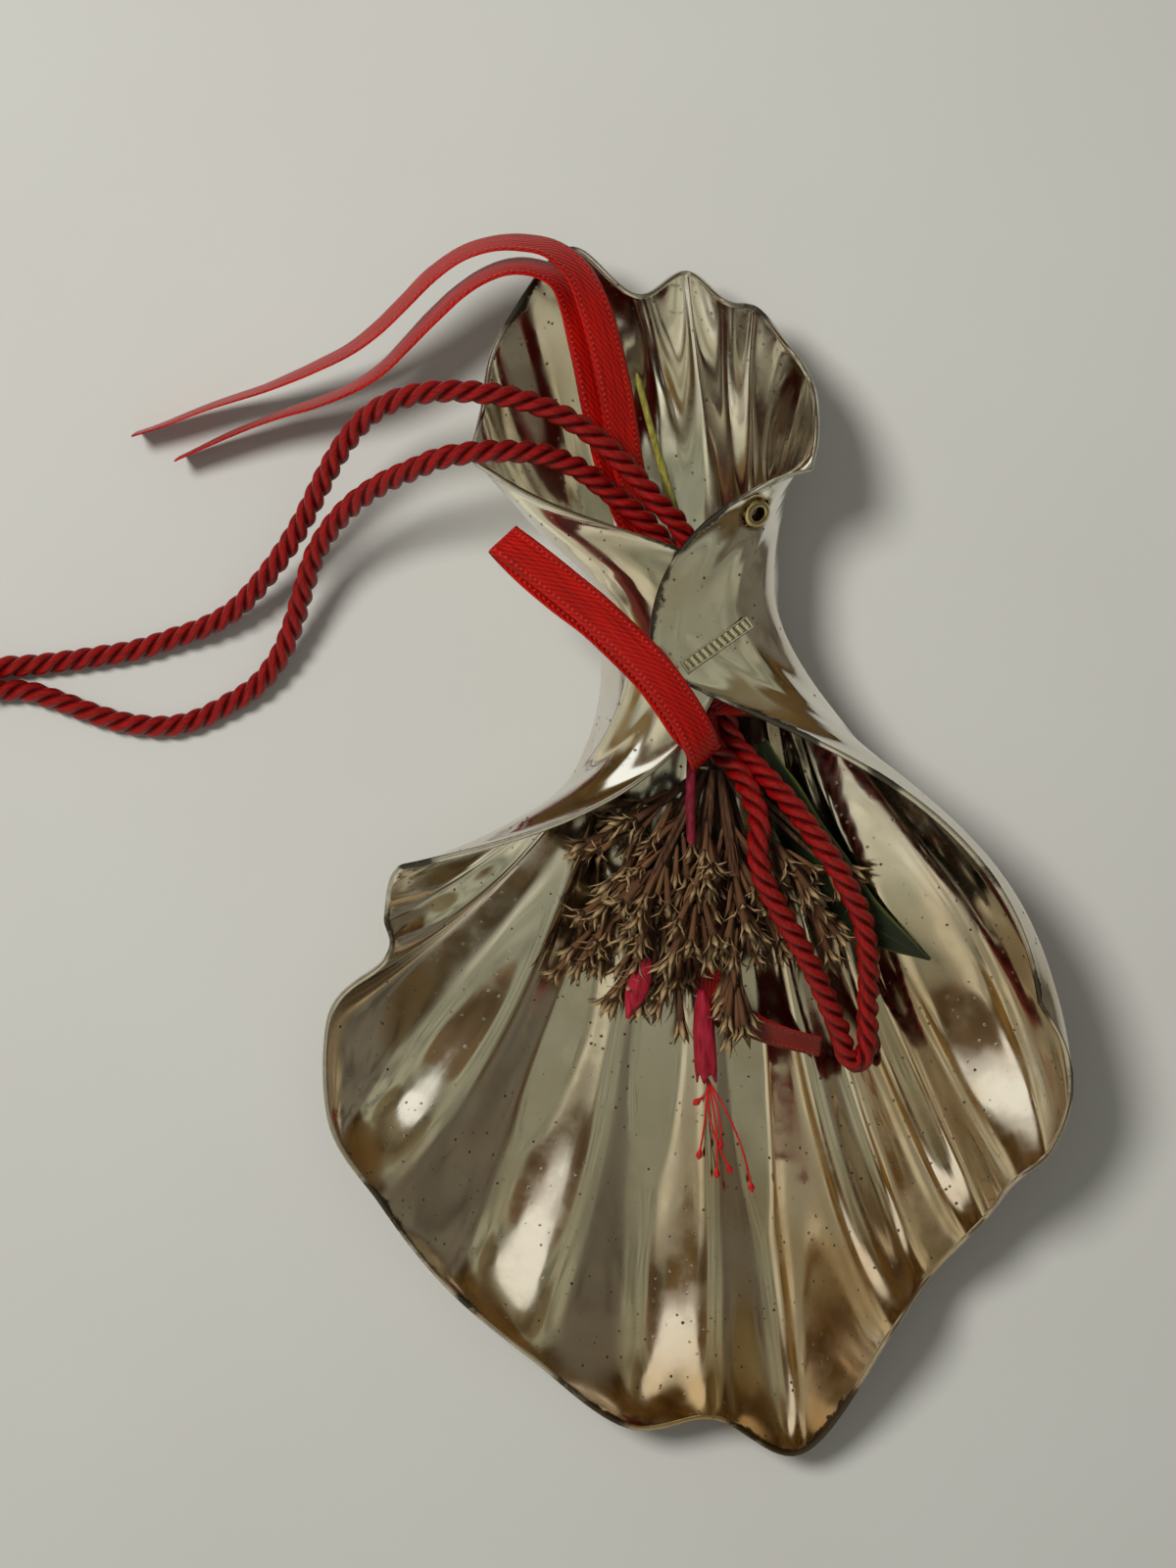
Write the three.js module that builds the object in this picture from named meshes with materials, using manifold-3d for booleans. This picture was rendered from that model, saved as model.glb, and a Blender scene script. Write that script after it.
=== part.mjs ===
// A folk good luck charm, lying on a table. One sheet of silvered metal is pressed into a fluted fan and
// rolled at its waist, so that its right side laps over its left and the sheet makes a small cup above
// and a wide bowl below. A doubled red cord, a red satin ribbon and a bunch of dried flowers pass
// through the waist. Millimetres; +X is to the right, +Y towards the small cup, +Z up from the table.
import * as THREE from 'three';
import { mergeVertices } from 'three/addons/utils/BufferGeometryUtils.js';
import Module from 'manifold-3d';

const wasm = await Module();
wasm.setup();

// Driving dimensions of the silver sheet
const SHEET_WALL = 1.0;
const WAIST_Y = 34.5;
const WAIST_SLANT = 0.5;
const SHEET_LIFT = -1.85;
// Brings the middle of the sheet's outline over the origin
const CENTRE_SHIFT = [0.9, 0.9, 0];
const SHEET_STEPS_ACROSS = 62;
const SHEET_STEPS_UPPER = 9;
const SHEET_STEPS_LOWER = 15;
// Air left between pieces that touch
const SEAT_GAP = 0.3;

// Driving dimensions of the eyelet and the raised bar on the flap
const EYELET_BORE = 2.0;
const EYELET_BARREL = 3.0;
const EYELET_FLANGE = 4.4;
const EYELET_FLANGE_THICK = 0.35;
// The flap curves under the flange, which stands a little clear of it
const EYELET_FLANGE_GAP = 0.4;
const EYELET_ACROSS = 0.946;
const EYELET_ALONG = -0.578;
const BAR_LENGTH = 12.4;
const BAR_WIDTH = 2.2;
const BAR_BASE = 0.45;
const BAR_RIB_HEIGHT = 0.3;
const BAR_RIBS = 11;
const BAR_ACROSS = 0.915;
const BAR_ALONG = 0.114;
const BAR_TURN = 0.61;

// Driving dimensions of the soft pieces
const CORD_DIAMETER = 3.6;
const CORD_SIDES = 8;
const CORD_STEP = 2.3;
const KNOT_DIAMETER = 7.8;
const KNOT_AND_ENDS_LENGTH = 19.3;
// The brushed-out ends behind the knot droop to this height
const KNOT_ENDS_Z = 3.2;
const RIBBON_WIDTH = 6.0;
const RIBBON_THICK = 0.5;
const LONG_TAIL_STEPS = 36;
const SHORT_TAIL_STEPS = 34;
const FRONT_LOOP_STEPS = 42;
const LOW_END_STEPS = 12;
const STEM_BUNDLE_DIAMETER = 5.8;
const TIE_THICK = 0.6;
const TIE_BORE_ACROSS = 11.4;
const TIE_BORE_HIGH = 13.0;
const TIE_FRONT_Y = 20.6;
const TIE_BACK_Y = 24.0;
const TIE_MIDDLE = [2.9, 10.3];
const BUNDLE_FRONT = [3.0, 12.6, 7.6];
const BUNDLE_BACK = [1.0, 42.0, 6.6];

// The strand that lies uppermost, from the waist to the knot
const UPPER_STRAND_ROUTE = [
  [1.8, 34.4, 13.0],
  [0.0, 42.0, 13.9],
  [-2.7, 49.9, 15.4],
  [-6.7, 54.1, 17.5],
  [-11.0, 58.8, 19.0],
  [-17.1, 64.3, 21.0],
  [-23.1, 67.4, 23.0],
  [-29.1, 69.1, 24.5],
  [-35.1, 69.8, 25.3],
  [-41.1, 69.8, 25.0],
  [-46.4, 68.8, 23.5],
  [-51.1, 66.5, 21.0],
  [-55.1, 62.4, 18.0],
  [-58.5, 57.3, 15.0],
  [-61.4, 52.2, 12.5],
  [-64.3, 47.8, 10.0],
  [-68.5, 42.5, 7.5],
  [-73.4, 37.7, 5.0],
  [-78.3, 35.0, 3.5],
  [-83.1, 33.4, 2.6],
  [-89.5, 31.4, 2.0],
  [-95.9, 30.3, 1.9],
  [-102.2, 29.4, 1.9],
  [-106.9, 28.9, 1.9],
  [-112.4, 28.6, 2.2],
];

// The strand below it, which runs beside it under the flap and meets it again at the knot
const LOWER_STRAND_ROUTE = [
  [-2.2, 34.4, 12.8],
  [-3.9, 41.0, 12.8],
  [-5.5, 47.8, 13.2],
  [-9.5, 52.1, 15.4],
  [-14.1, 55.5, 17.6],
  [-18.6, 58.6, 20.5],
  [-23.9, 60.4, 23.4],
  [-29.1, 60.7, 25.4],
  [-34.7, 60.4, 26.2],
  [-39.6, 59.6, 25.5],
  [-44.2, 58.0, 23.5],
  [-48.9, 56.2, 20.5],
  [-53.4, 53.6, 17.5],
  [-57.0, 50.3, 14.5],
  [-60.0, 46.1, 11.5],
  [-62.1, 40.9, 8.8],
  [-63.9, 35.6, 6.4],
  [-66.4, 30.2, 4.4],
  [-70.2, 25.6, 3.0],
  [-75.3, 22.4, 2.2],
  [-80.1, 20.1, 1.9],
  [-84.8, 19.1, 1.9],
  [-91.1, 19.6, 1.9],
  [-95.9, 20.9, 1.9],
  [-102.2, 23.2, 1.9],
  [-107.7, 24.8, 1.9],
  [-112.4, 24.7, 2.2],
];

// The doubled end that hangs in the bowl, from the waist round its tip and back to the waist
const BIGHT_ROUTE = [
  [-2.2, 33.7, 12.8],
  [-0.9, 27.0, 13.0],
  [0.8, 20.5, 13.2],
  [1.9, 17.0, 13.6],
  [4.0, 14.1, 14.6],
  [6.6, 11.4, 15.9],
  [8.3, 7.9, 17.5],
  [9.5, 3.9, 18.5],
  [9.2, -0.5, 19.0],
  [9.9, -4.3, 19.0],
  [12.3, -9.2, 18.3],
  [15.2, -14.1, 17.0],
  [17.8, -18.6, 15.4],
  [20.4, -24.1, 13.2],
  [22.6, -29.1, 10.9],
  [23.7, -32.6, 9.4],
  [25.3, -34.4, 8.8],
  [26.9, -32.6, 9.1],
  [27.1, -28.9, 10.0],
  [27.0, -24.9, 11.2],
  [27.0, -21.1, 12.8],
  [26.7, -16.3, 14.8],
  [25.7, -11.3, 16.6],
  [23.6, -6.8, 17.8],
  [21.1, -2.4, 18.2],
  [18.1, 1.9, 18.0],
  [14.8, 6.3, 17.2],
  [11.3, 10.3, 16.0],
  [8.0, 13.8, 14.3],
  [5.5, 17.0, 13.2],
  [4.5, 20.5, 13.0],
  [3.2, 27.0, 13.0],
  [1.8, 33.7, 13.0],
];

// The ribbon's two tails, from the tie out over the cup's left lip to their cut ends
const LONG_TAIL_ROUTE = [
  [-4.2, 19.0, 10.6],
  [-5.2, 29.0, 10.0],
  [-5.9, 39.0, 9.0],
  [-6.7, 46.8, 8.8],
  [-8.7, 52.8, 11.2],
  [-10.5, 58.8, 12.8],
  [-11.8, 64.8, 14.4],
  [-12.8, 70.9, 16.2],
  [-14.5, 78.3, 17.8],
  [-16.3, 84.3, 18.8],
  [-18.9, 89.5, 19.5],
  [-22.9, 92.6, 20.0],
  [-27.7, 93.5, 20.5],
  [-32.2, 93.2, 20.5],
  [-36.8, 91.7, 20.0],
  [-41.4, 88.7, 19.0],
  [-45.7, 84.8, 17.5],
  [-50.0, 81.0, 15.5],
  [-54.7, 77.9, 13.5],
  [-60.3, 75.5, 11.3],
  [-66.7, 73.1, 9.0],
  [-73.2, 71.2, 7.0],
  [-79.6, 69.3, 5.3],
  [-84.5, 67.5, 4.2],
  [-89.6, 65.9, 3.4],
];
const SHORT_TAIL_ROUTE = [
  [-5.2, 19.0, 10.6],
  [-6.4, 29.0, 9.4],
  [-7.3, 39.0, 7.8],
  [-8.3, 46.0, 7.2],
  [-10.4, 51.4, 9.0],
  [-12.6, 57.4, 11.0],
  [-14.2, 63.5, 12.6],
  [-15.8, 70.3, 14.2],
  [-17.4, 77.8, 15.8],
  [-19.0, 83.7, 17.2],
  [-21.4, 88.0, 18.5],
  [-25.2, 89.8, 18.9],
  [-29.2, 90.0, 19.1],
  [-33.0, 88.8, 18.6],
  [-37.2, 86.2, 17.9],
  [-41.5, 82.5, 16.6],
  [-45.4, 78.7, 15.1],
  [-49.3, 75.1, 13.5],
  [-54.1, 72.3, 11.8],
  [-59.7, 70.2, 10.0],
  [-65.3, 68.6, 8.2],
  [-70.9, 66.8, 6.5],
  [-76.6, 64.6, 5.0],
  [-82.6, 62.0, 3.4],
];
const TAIL_WIDTH_WAYS = [
  [0.10, 0.00, -1.00],
  [0.50, 0.15, -0.80],
  [0.88, 0.25, -0.40],
  [0.80, 0.30, -0.50],
  [0.05, 0.60, -0.80],
  [-0.30, 0.40, -0.85],
  [-0.20, 0.40, -0.90],
  [-0.12, 0.30, -0.95],
  [-0.08, 0.20, -0.98],
];

// The bow's loop, from the tie, folded at the mouth, over the waist to its tip and back under itself
const FRONT_LOOP_ROUTE = [
  [-0.2, 21.2, 17.6],
  [0.2, 17.6, 18.4],
  [1.0, 14.7, 20.6],
  [1.1, 13.8, 23.2],
  [0.2, 15.9, 25.6],
  [-1.3, 18.9, 27.5],
  [-3.9, 22.9, 29.2],
  [-7.0, 27.0, 30.2],
  [-11.2, 31.3, 30.9],
  [-15.9, 35.7, 31.5],
  [-20.8, 39.7, 32.0],
  [-25.2, 43.2, 32.3],
  [-28.4, 45.6, 32.3],
  [-29.9, 46.7, 31.0],
  [-28.9, 45.5, 29.8],
  [-25.4, 42.0, 29.6],
  [-21.0, 38.3, 29.4],
  [-15.9, 34.4, 29.1],
  [-11.6, 30.4, 28.6],
  [-7.5, 26.2, 27.9],
  [-4.6, 22.3, 26.9],
  [-2.0, 18.6, 25.6],
  [-0.2, 16.9, 24.0],
];
const FRONT_LOOP_WIDTH_WAYS = [
  [0.70, 0.66, -0.10],
  [0.68, 0.66, -0.30],
  [0.68, 0.66, -0.32],
  [0.68, 0.66, -0.32],
  [0.68, 0.66, -0.30],
];

// The ribbon's last end, which lies in the bowl under the flowers and the cord's tip
const LOW_END_ROUTE = [
  [1.6, -6.6, 3.6],
  [1.2, -14.0, 3.6],
  [1.6, -20.0, 3.8],
  [4.6, -25.6, 4.9],
  [9.2, -28.6, 6.2],
  [14.1, -30.3, 8.8],
  [19.7, -31.7, 9.9],
];
const LOW_END_WIDTH_WAYS = [
  [1.00, 0.00, 0.00],
  [0.95, 0.10, 0.10],
  [0.55, 0.60, 0.55],
  [0.25, 0.50, 0.80],
  [0.20, 0.52, 0.82],
];

const FULL_HEAD_RADIUS = 3.2;
const BROAD_HEAD_RADIUS = 2.8;
const SLIM_HEAD_RADIUS = 2.2;
const SMALL_HEAD_RADIUS = 1.7;
const SINGLE_FLORET_RADIUS = 1.2;
// Dried flower heads: neck in the bundle's end, tip, head radius, share of the length that is bare stem
const SPRIGS = [
  [[0.8, 12.0, 6.8], [-22.4, -23.2, 7.2], BROAD_HEAD_RADIUS, 0.50],
  [[1.7, 12.0, 5.7], [-12.7, -28.8, 7.4], BROAD_HEAD_RADIUS, 0.50],
  [[2.8, 12.0, 5.3], [-5.2, -31.5, 6.2], BROAD_HEAD_RADIUS, 0.52],
  [[3.3, 12.0, 7.2], [7.4, -34.3, 10.8], SLIM_HEAD_RADIUS, 0.55],
  [[4.4, 12.0, 6.0], [12.6, -21.0, 8.6], SLIM_HEAD_RADIUS, 0.50],
  [[5.1, 12.0, 7.0], [23.0, -17.8, 10.8], SMALL_HEAD_RADIUS, 0.62],
  [[5.3, 12.0, 8.3], [27.6, -9.4, 14.4], SINGLE_FLORET_RADIUS, 0.80],
  [[0.7, 12.0, 8.4], [-16.4, -2.6, 11.6], BROAD_HEAD_RADIUS, 0.45],
  [[1.5, 12.0, 9.6], [-11.5, -15.0, 13.6], FULL_HEAD_RADIUS, 0.42],
  [[2.6, 12.0, 10.2], [-1.6, -19.0, 14.6], FULL_HEAD_RADIUS, 0.45],
  [[3.8, 12.0, 9.8], [7.6, -20.0, 14.4], BROAD_HEAD_RADIUS, 0.45],
  [[4.6, 12.0, 9.2], [18.2, -7.4, 13.4], SLIM_HEAD_RADIUS, 0.60],
];
const SPRIG_NECK_RADIUS = 0.45;

const LARGE_LEAF_ROUTE = [
  [10.2, 16.4, 11.6],
  [13.2, 9.4, 10.2],
  [18.4, -0.8, 9.6],
  [26.2, -11.0, 11.4],
  [36.2, -17.6, 15.6],
];
const LEAF_WIDTH_WAY = [0.62, 0.62, 0.48];
const LARGE_LEAF_HALF_WIDTHS = [1.0, 3.0, 4.4, 3.8, 0.15];
const LEAF_THICK = 0.5;
const RED_PETAL_ROUTE = [
  [-7.4, -17.6, 10.0],
  [-9.3, -22.4, 10.4],
  [-10.9, -27.2, 10.3],
];
const PETAL_WIDTH_WAY = [1.0, -0.3, 0.0];
const RED_PETAL_HALF_WIDTHS = [0.6, 1.8, 0.3];
const RED_FLOWER_FROM = [0.9, -22.6, 9.2];
const RED_FLOWER_TO = [1.8, -36.6, 7.2];
const RED_FLOWER_RADIUS = 1.8;
const STAMEN_ROOT = [1.9, -37.0, 7.1];
const STAMEN_TIPS = [
  [0.5, -50.0, 5.6],
  [4.0, -48.4, 6.0],
  [3.4, -53.0, 6.0],
  [5.8, -52.2, 6.2],
  [9.1, -55.2, 6.0],
  [-0.4, -41.2, 6.6],
];
const STAMEN_RADIUS = 0.3;
const STAMEN_HEAD_RADIUS = 0.65;
const PINK_STEM_FROM = [-0.6, 16.2, 13.0];
const PINK_STEM_TO = [-1.0, 0.4, 16.8];
const PINK_STEM_RADIUS = 0.9;
const GREEN_STEM_FROM = [0.6, 42.4, 7.4];
const GREEN_STEM_TO = [-9.5, 74.1, 14.6];
const GREEN_STEM_RADIUS = 0.7;

// The rolled section at the waist, from the sheet's hidden left edge round underneath to the edge of
// the flap: share of the way across the sheet, x, z
const WAIST_SECTION = [
  [0.00, 5.0, 23.4],
  [0.08, -4.0, 24.3],
  [0.17, -11.0, 20.9],
  [0.26, -14.6, 13.0],
  [0.36, -11.0, 6.0],
  [0.48, -1.0, 3.5],
  [0.60, 8.5, 6.0],
  [0.69, 11.9, 12.5],
  [0.76, 12.0, 19.4],
  [0.81, 10.2, 23.7],
  [0.86, 6.0, 26.2],
  [0.93, -0.8, 27.1],
  [1.00, -7.6, 26.9],
];

// The bowl's ribs: share across, reach along the waist, belly point, rim point. Ridges and lobes take
// turns, and the rim dips in at each ridge.
const BOWL_RIBS = [
  [0.000, 22, -13.0, 3.0, 24.0, -46.6, -3.0, 21.0],
  [0.080, 17, -19.5, 7.0, 15.0, -47.9, -5.3, 20.0],
  [0.160, 16, -32.5, -2.0, 3.0, -48.8, -11.2, 17.0],
  [0.220, 18, -28.0, -9.5, 6.0, -49.0, -17.9, 19.0],
  [0.260, 20, -42.0, -20.0, -1.0, -57.8, -27.0, 15.0],
  [0.290, 22, -45.0, -34.0, -3.0, -57.9, -42.5, 14.0],
  [0.330, 26, -27.0, -32.0, 4.0, -49.8, -55.7, 16.0],
  [0.375, 28, -31.0, -60.0, -6.0, -39.4, -69.8, 11.0],
  [0.420, 30, -13.0, -50.0, 1.5, -25.7, -80.8, 14.0],
  [0.460, 30, -8.4, -80.3, -5.0, -10.9, -91.4, 13.0],
  [0.500, 30, 4.2, -54.4, 2.0, 2.6, -90.2, 13.0],
  [0.545, 30, 14.1, -82.3, -5.0, 17.0, -95.9, 11.0],
  [0.590, 30, 16.0, -42.1, 4.0, 30.2, -75.3, 20.0],
  [0.625, 28, 29.0, -54.1, -3.0, 36.4, -67.3, 16.0],
  [0.655, 26, 29.9, -38.8, 2.0, 41.7, -60.8, 20.0],
  [0.680, 26, 34.5, -36.0, 0.0, 45.0, -57.3, 20.0],
  [0.710, 26, 34.0, -20.3, 6.0, 47.3, -52.8, 25.0],
  [0.790, 16, 52.0, -8.0, 4.0, 53.6, -47.0, 26.0],
  [0.870, 12, 53.0, 5.0, 18.0, 56.6, -38.0, 28.0],
  [0.940, 10, 52.0, 13.5, 27.0, 55.0, -30.0, 30.0],
  [1.000, 10, 46.0, 17.0, 34.0, 51.1, -23.4, 32.0],
];

// The small cup's ribs, in the same order
const CUP_RIBS = [
  [0.00, 12, -16.0, 46.0, 26.0, -35.1, 59.7, 24.0],
  [0.07, 10, -26.0, 44.0, 21.0, -35.0, 62.5, 23.0],
  [0.14, 10, -29.0, 47.0, 14.0, -33.5, 68.4, 22.0],
  [0.20, 12, -26.0, 56.0, 7.0, -32.3, 76.7, 19.0],
  [0.27, 14, -19.0, 64.0, 2.0, -28.0, 85.0, 19.0],
  [0.36, 14, -13.0, 70.0, -4.0, -20.2, 94.2, 16.0],
  [0.47, 14, -1.0, 66.0, 0.5, -8.6, 86.4, 18.0],
  [0.53, 14, 1.5, 70.0, -4.0, -1.4, 90.9, 13.0],
  [0.58, 14, 4.5, 68.0, 3.0, 4.2, 85.5, 18.0],
  [0.63, 14, 8.5, 70.0, 0.0, 9.6, 84.4, 16.0],
  [0.67, 12, 6.5, 65.0, 7.0, 13.4, 78.6, 21.0],
  [0.77, 10, 15.0, 60.0, 5.0, 17.3, 72.5, 22.0],
  [0.88, 9, 17.0, 57.0, 19.0, 17.9, 66.0, 26.0],
  [0.95, 12, 13.5, 55.0, 25.0, 17.7, 61.2, 27.6],
  [1.00, 17, 6.0, 55.0, 29.0, 17.0, 57.8, 28.0],
];

// Finishes: colour, roughness, metalness
const FINISHES = {
  silver: new THREE.MeshStandardMaterial({ color: 0xd2ccbb, roughness: 0.12, metalness: 1.0 }),
  brass: new THREE.MeshStandardMaterial({ color: 0xa39876, roughness: 0.3, metalness: 1.0 }),
  cord: new THREE.MeshStandardMaterial({ color: 0x8a1418, roughness: 0.5, metalness: 0.0 }),
  ribbon: new THREE.MeshStandardMaterial({ color: 0xb81c1a, roughness: 0.4, metalness: 0.0 }),
  driedFlower: new THREE.MeshStandardMaterial({ color: 0x6b4b38, roughness: 0.9, metalness: 0.0 }),
  driedStem: new THREE.MeshStandardMaterial({ color: 0x5a4630, roughness: 0.9, metalness: 0.0 }),
  leaf: new THREE.MeshStandardMaterial({ color: 0x3b4522, roughness: 0.7, metalness: 0.0 }),
  redFlower: new THREE.MeshStandardMaterial({ color: 0xa81830, roughness: 0.6, metalness: 0.0 }),
  greenStem: new THREE.MeshStandardMaterial({ color: 0x8a8a3a, roughness: 0.7, metalness: 0.0 }),
};

const charm = new THREE.Group();
charm.position.set(...CENTRE_SHIFT);

function addPiece(name, geometry, finish) {
  const mesh = new THREE.Mesh(geometry, FINISHES[finish]);
  mesh.name = name;
  charm.add(mesh);
  return mesh;
}

// A smooth curve through rows of [share, value, value, ...], as values at one share
function alongRows(rows, share) {
  const last = rows.length - 2;
  let i = 0;
  while (i < last && share > rows[i + 1][0]) {
    i += 1;
  }
  const slope = (k, c) => (rows[k + 1][c] - rows[k][c]) / (rows[k + 1][0] - rows[k][0]);
  const tangent = (k, c) => {
    if (k === 0 || k === rows.length - 1) {
      return slope(Math.min(k, last), c);
    }
    const before = rows[k][0] - rows[k - 1][0];
    const after = rows[k + 1][0] - rows[k][0];
    return (slope(k - 1, c) * after + slope(k, c) * before) / (before + after);
  };
  const span = rows[i + 1][0] - rows[i][0];
  const t = (share - rows[i][0]) / span;
  return rows[i].slice(1).map((start, k) => {
    const c = k + 1;
    const end = rows[i + 1][c];
    const rise = 2 * t ** 3 - 3 * t ** 2 + 1;
    return rise * start + (t ** 3 - 2 * t ** 2 + t) * span * tangent(i, c)
      + (1 - rise) * end + (t ** 3 - t ** 2) * span * tangent(i + 1, c);
  });
}

// The middle of the sheet's wall: across runs 0 to 1 from hidden edge to flap edge, along runs -1 to 1
// from the cup's rim to the bowl's rim, with the waist at 0
function sheetPoint(across, along) {
  const [x, z] = alongRows(WAIST_SECTION, across);
  const waist = new THREE.Vector3(x, WAIST_Y + WAIST_SLANT * x, z);
  const rows = along < 0 ? CUP_RIBS : BOWL_RIBS;
  const [reach, bellyX, bellyY, bellyZ, rimX, rimY, rimZ] = alongRows(rows, across);
  const lean = new THREE.Vector3(x, waist.y + (along < 0 ? reach : -reach), z);
  const rib = new THREE.CubicBezierCurve3(
    waist,
    lean,
    new THREE.Vector3(bellyX, bellyY, bellyZ),
    new THREE.Vector3(rimX, rimY, rimZ),
  );
  return rib.getPoint(Math.abs(along)).add(new THREE.Vector3(0, 0, SHEET_LIFT));
}

// The outward side of the sheet, which faces the table under the bowl and the sky on the flap
function sheetNormal(across, along) {
  const step = 1e-3;
  const a0 = Math.max(0, across - step);
  const a1 = Math.min(1, across + step);
  const l0 = Math.max(-1, along - step);
  const l1 = Math.min(1, along + step);
  const acrossWay = sheetPoint(a1, along).sub(sheetPoint(a0, along));
  const alongWay = sheetPoint(across, l1).sub(sheetPoint(across, l0));
  return acrossWay.cross(alongWay).normalize();
}

// Joins a grid of points, front[i][j] and back[i][j], into one closed wall
function wallBetween(front, back) {
  const across = front.length;
  const along = front[0].length;
  const positions = [];
  const index = [];
  for (const side of [front, back]) {
    for (const row of side) {
      for (const p of row) {
        positions.push(p.x, p.y, p.z);
      }
    }
  }
  const at = (side, i, j) => side * across * along + i * along + j;
  const quad = (a, b, c, d) => index.push(a, b, c, a, c, d);
  for (let i = 0; i < across - 1; i += 1) {
    for (let j = 0; j < along - 1; j += 1) {
      quad(at(0, i, j), at(0, i + 1, j), at(0, i + 1, j + 1), at(0, i, j + 1));
      quad(at(1, i, j), at(1, i, j + 1), at(1, i + 1, j + 1), at(1, i + 1, j));
    }
  }
  for (let i = 0; i < across - 1; i += 1) {
    quad(at(0, i, 0), at(1, i, 0), at(1, i + 1, 0), at(0, i + 1, 0));
    quad(at(0, i, along - 1), at(0, i + 1, along - 1), at(1, i + 1, along - 1), at(1, i, along - 1));
  }
  for (let j = 0; j < along - 1; j += 1) {
    quad(at(0, 0, j), at(0, 0, j + 1), at(1, 0, j + 1), at(1, 0, j));
    quad(at(0, across - 1, j), at(1, across - 1, j), at(1, across - 1, j + 1), at(0, across - 1, j + 1));
  }
  const geometry = new THREE.BufferGeometry();
  geometry.setAttribute('position', new THREE.Float32BufferAttribute(positions, 3));
  geometry.setIndex(index);
  return geometry;
}

function toSolid(geometry) {
  const bare = geometry.clone();
  bare.deleteAttribute('normal');
  bare.deleteAttribute('uv');
  const merged = mergeVertices(bare, 1e-5);
  return new wasm.Manifold(new wasm.Mesh({
    numProp: 3,
    vertProperties: new Float32Array(merged.attributes.position.array),
    triVerts: new Uint32Array(merged.index.array),
  }));
}

function toGeometry(solid) {
  const mesh = solid.getMesh();
  const geometry = new THREE.BufferGeometry();
  geometry.setAttribute('position', new THREE.Float32BufferAttribute(mesh.vertProperties, 3));
  geometry.setIndex(Array.from(mesh.triVerts));
  return geometry;
}

// Where a piece that sits on the flap stands: its middle, the way up from the flap, and the way along
function flapSeat(across, along) {
  const up = sheetNormal(across, along);
  const middle = sheetPoint(across, along);
  const frame = new THREE.Matrix4();
  const towardsRight = new THREE.Vector3(1, 0, 0);
  const side = new THREE.Vector3().crossVectors(up, towardsRight).normalize();
  const way = new THREE.Vector3().crossVectors(side, up).normalize();
  frame.makeBasis(way, side, up);
  frame.setPosition(middle);
  return frame;
}

// The sheet with its wall, flattened where it stands, and with the eyelet's hole
function silverShell() {
  const front = [];
  const back = [];
  for (let i = 0; i <= SHEET_STEPS_ACROSS; i += 1) {
    const across = i / SHEET_STEPS_ACROSS;
    const frontRow = [];
    const backRow = [];
    for (let j = -SHEET_STEPS_UPPER; j <= SHEET_STEPS_LOWER; j += 1) {
      const along = j < 0 ? j / SHEET_STEPS_UPPER : j / SHEET_STEPS_LOWER;
      const middle = sheetPoint(across, along);
      const half = sheetNormal(across, along).multiplyScalar(SHEET_WALL / 2);
      const outer = middle.clone().add(half);
      const inner = middle.clone().sub(half);
      outer.z = Math.max(outer.z, 0);
      inner.z = Math.max(inner.z, SHEET_WALL);
      frontRow.push(outer);
      backRow.push(inner);
    }
    front.push(frontRow);
    back.push(backRow);
  }
  const drill = new THREE.CylinderGeometry(
    EYELET_BARREL / 2 + SEAT_GAP,
    EYELET_BARREL / 2 + SEAT_GAP,
    SHEET_WALL * 4,
    16,
  );
  drill.rotateX(Math.PI / 2);
  drill.applyMatrix4(flapSeat(EYELET_ACROSS, EYELET_ALONG));
  const sheet = toSolid(wallBetween(front, back));
  return toGeometry(sheet.subtract(toSolid(drill)));
}

// A tubular rivet: a barrel through the flap with a rolled flange on each side
function eyelet() {
  const flangeSeat = SHEET_WALL / 2 + EYELET_FLANGE_GAP;
  const top = flangeSeat + EYELET_FLANGE_THICK;
  const bore = EYELET_BORE / 2;
  const barrel = EYELET_BARREL / 2;
  const flange = EYELET_FLANGE / 2;
  const profile = [
    [bore, -top],
    [flange, -top],
    [flange, -flangeSeat],
    [barrel, -flangeSeat],
    [barrel, flangeSeat],
    [flange, flangeSeat],
    [flange, top],
    [bore, top],
    [bore, -top],
  ];
  const geometry = new THREE.LatheGeometry(profile.map(([r, z]) => new THREE.Vector2(r, z)), 16);
  geometry.rotateX(Math.PI / 2);
  geometry.applyMatrix4(flapSeat(EYELET_ACROSS, EYELET_ALONG));
  return geometry;
}

// A raised bar with plain ribs, soldered on the flap
function hallmarkBar() {
  const outline = new THREE.Shape();
  const pitch = BAR_LENGTH / (2 * BAR_RIBS + 1);
  const low = BAR_BASE;
  const high = BAR_BASE + BAR_RIB_HEIGHT;
  outline.moveTo(-BAR_LENGTH / 2, 0);
  outline.lineTo(BAR_LENGTH / 2, 0);
  outline.lineTo(BAR_LENGTH / 2, low);
  for (let rib = 0; rib < BAR_RIBS; rib += 1) {
    const start = BAR_LENGTH / 2 - pitch * (2 * rib + 1);
    outline.lineTo(start, low);
    outline.lineTo(start, high);
    outline.lineTo(start - pitch, high);
    outline.lineTo(start - pitch, low);
  }
  outline.lineTo(-BAR_LENGTH / 2, low);
  const geometry = new THREE.ExtrudeGeometry(outline, { depth: BAR_WIDTH, bevelEnabled: false, steps: 1 });
  geometry.translate(0, SHEET_WALL / 2 + SEAT_GAP, -BAR_WIDTH / 2);
  geometry.rotateX(Math.PI / 2);
  geometry.rotateZ(BAR_TURN);
  geometry.applyMatrix4(flapSeat(BAR_ACROSS, BAR_ALONG));
  return geometry;
}

// A route through hand-chosen points
function route(points) {
  return new THREE.CatmullRomCurve3(points.map((p) => new THREE.Vector3(...p)), false, 'centripetal');
}

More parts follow.
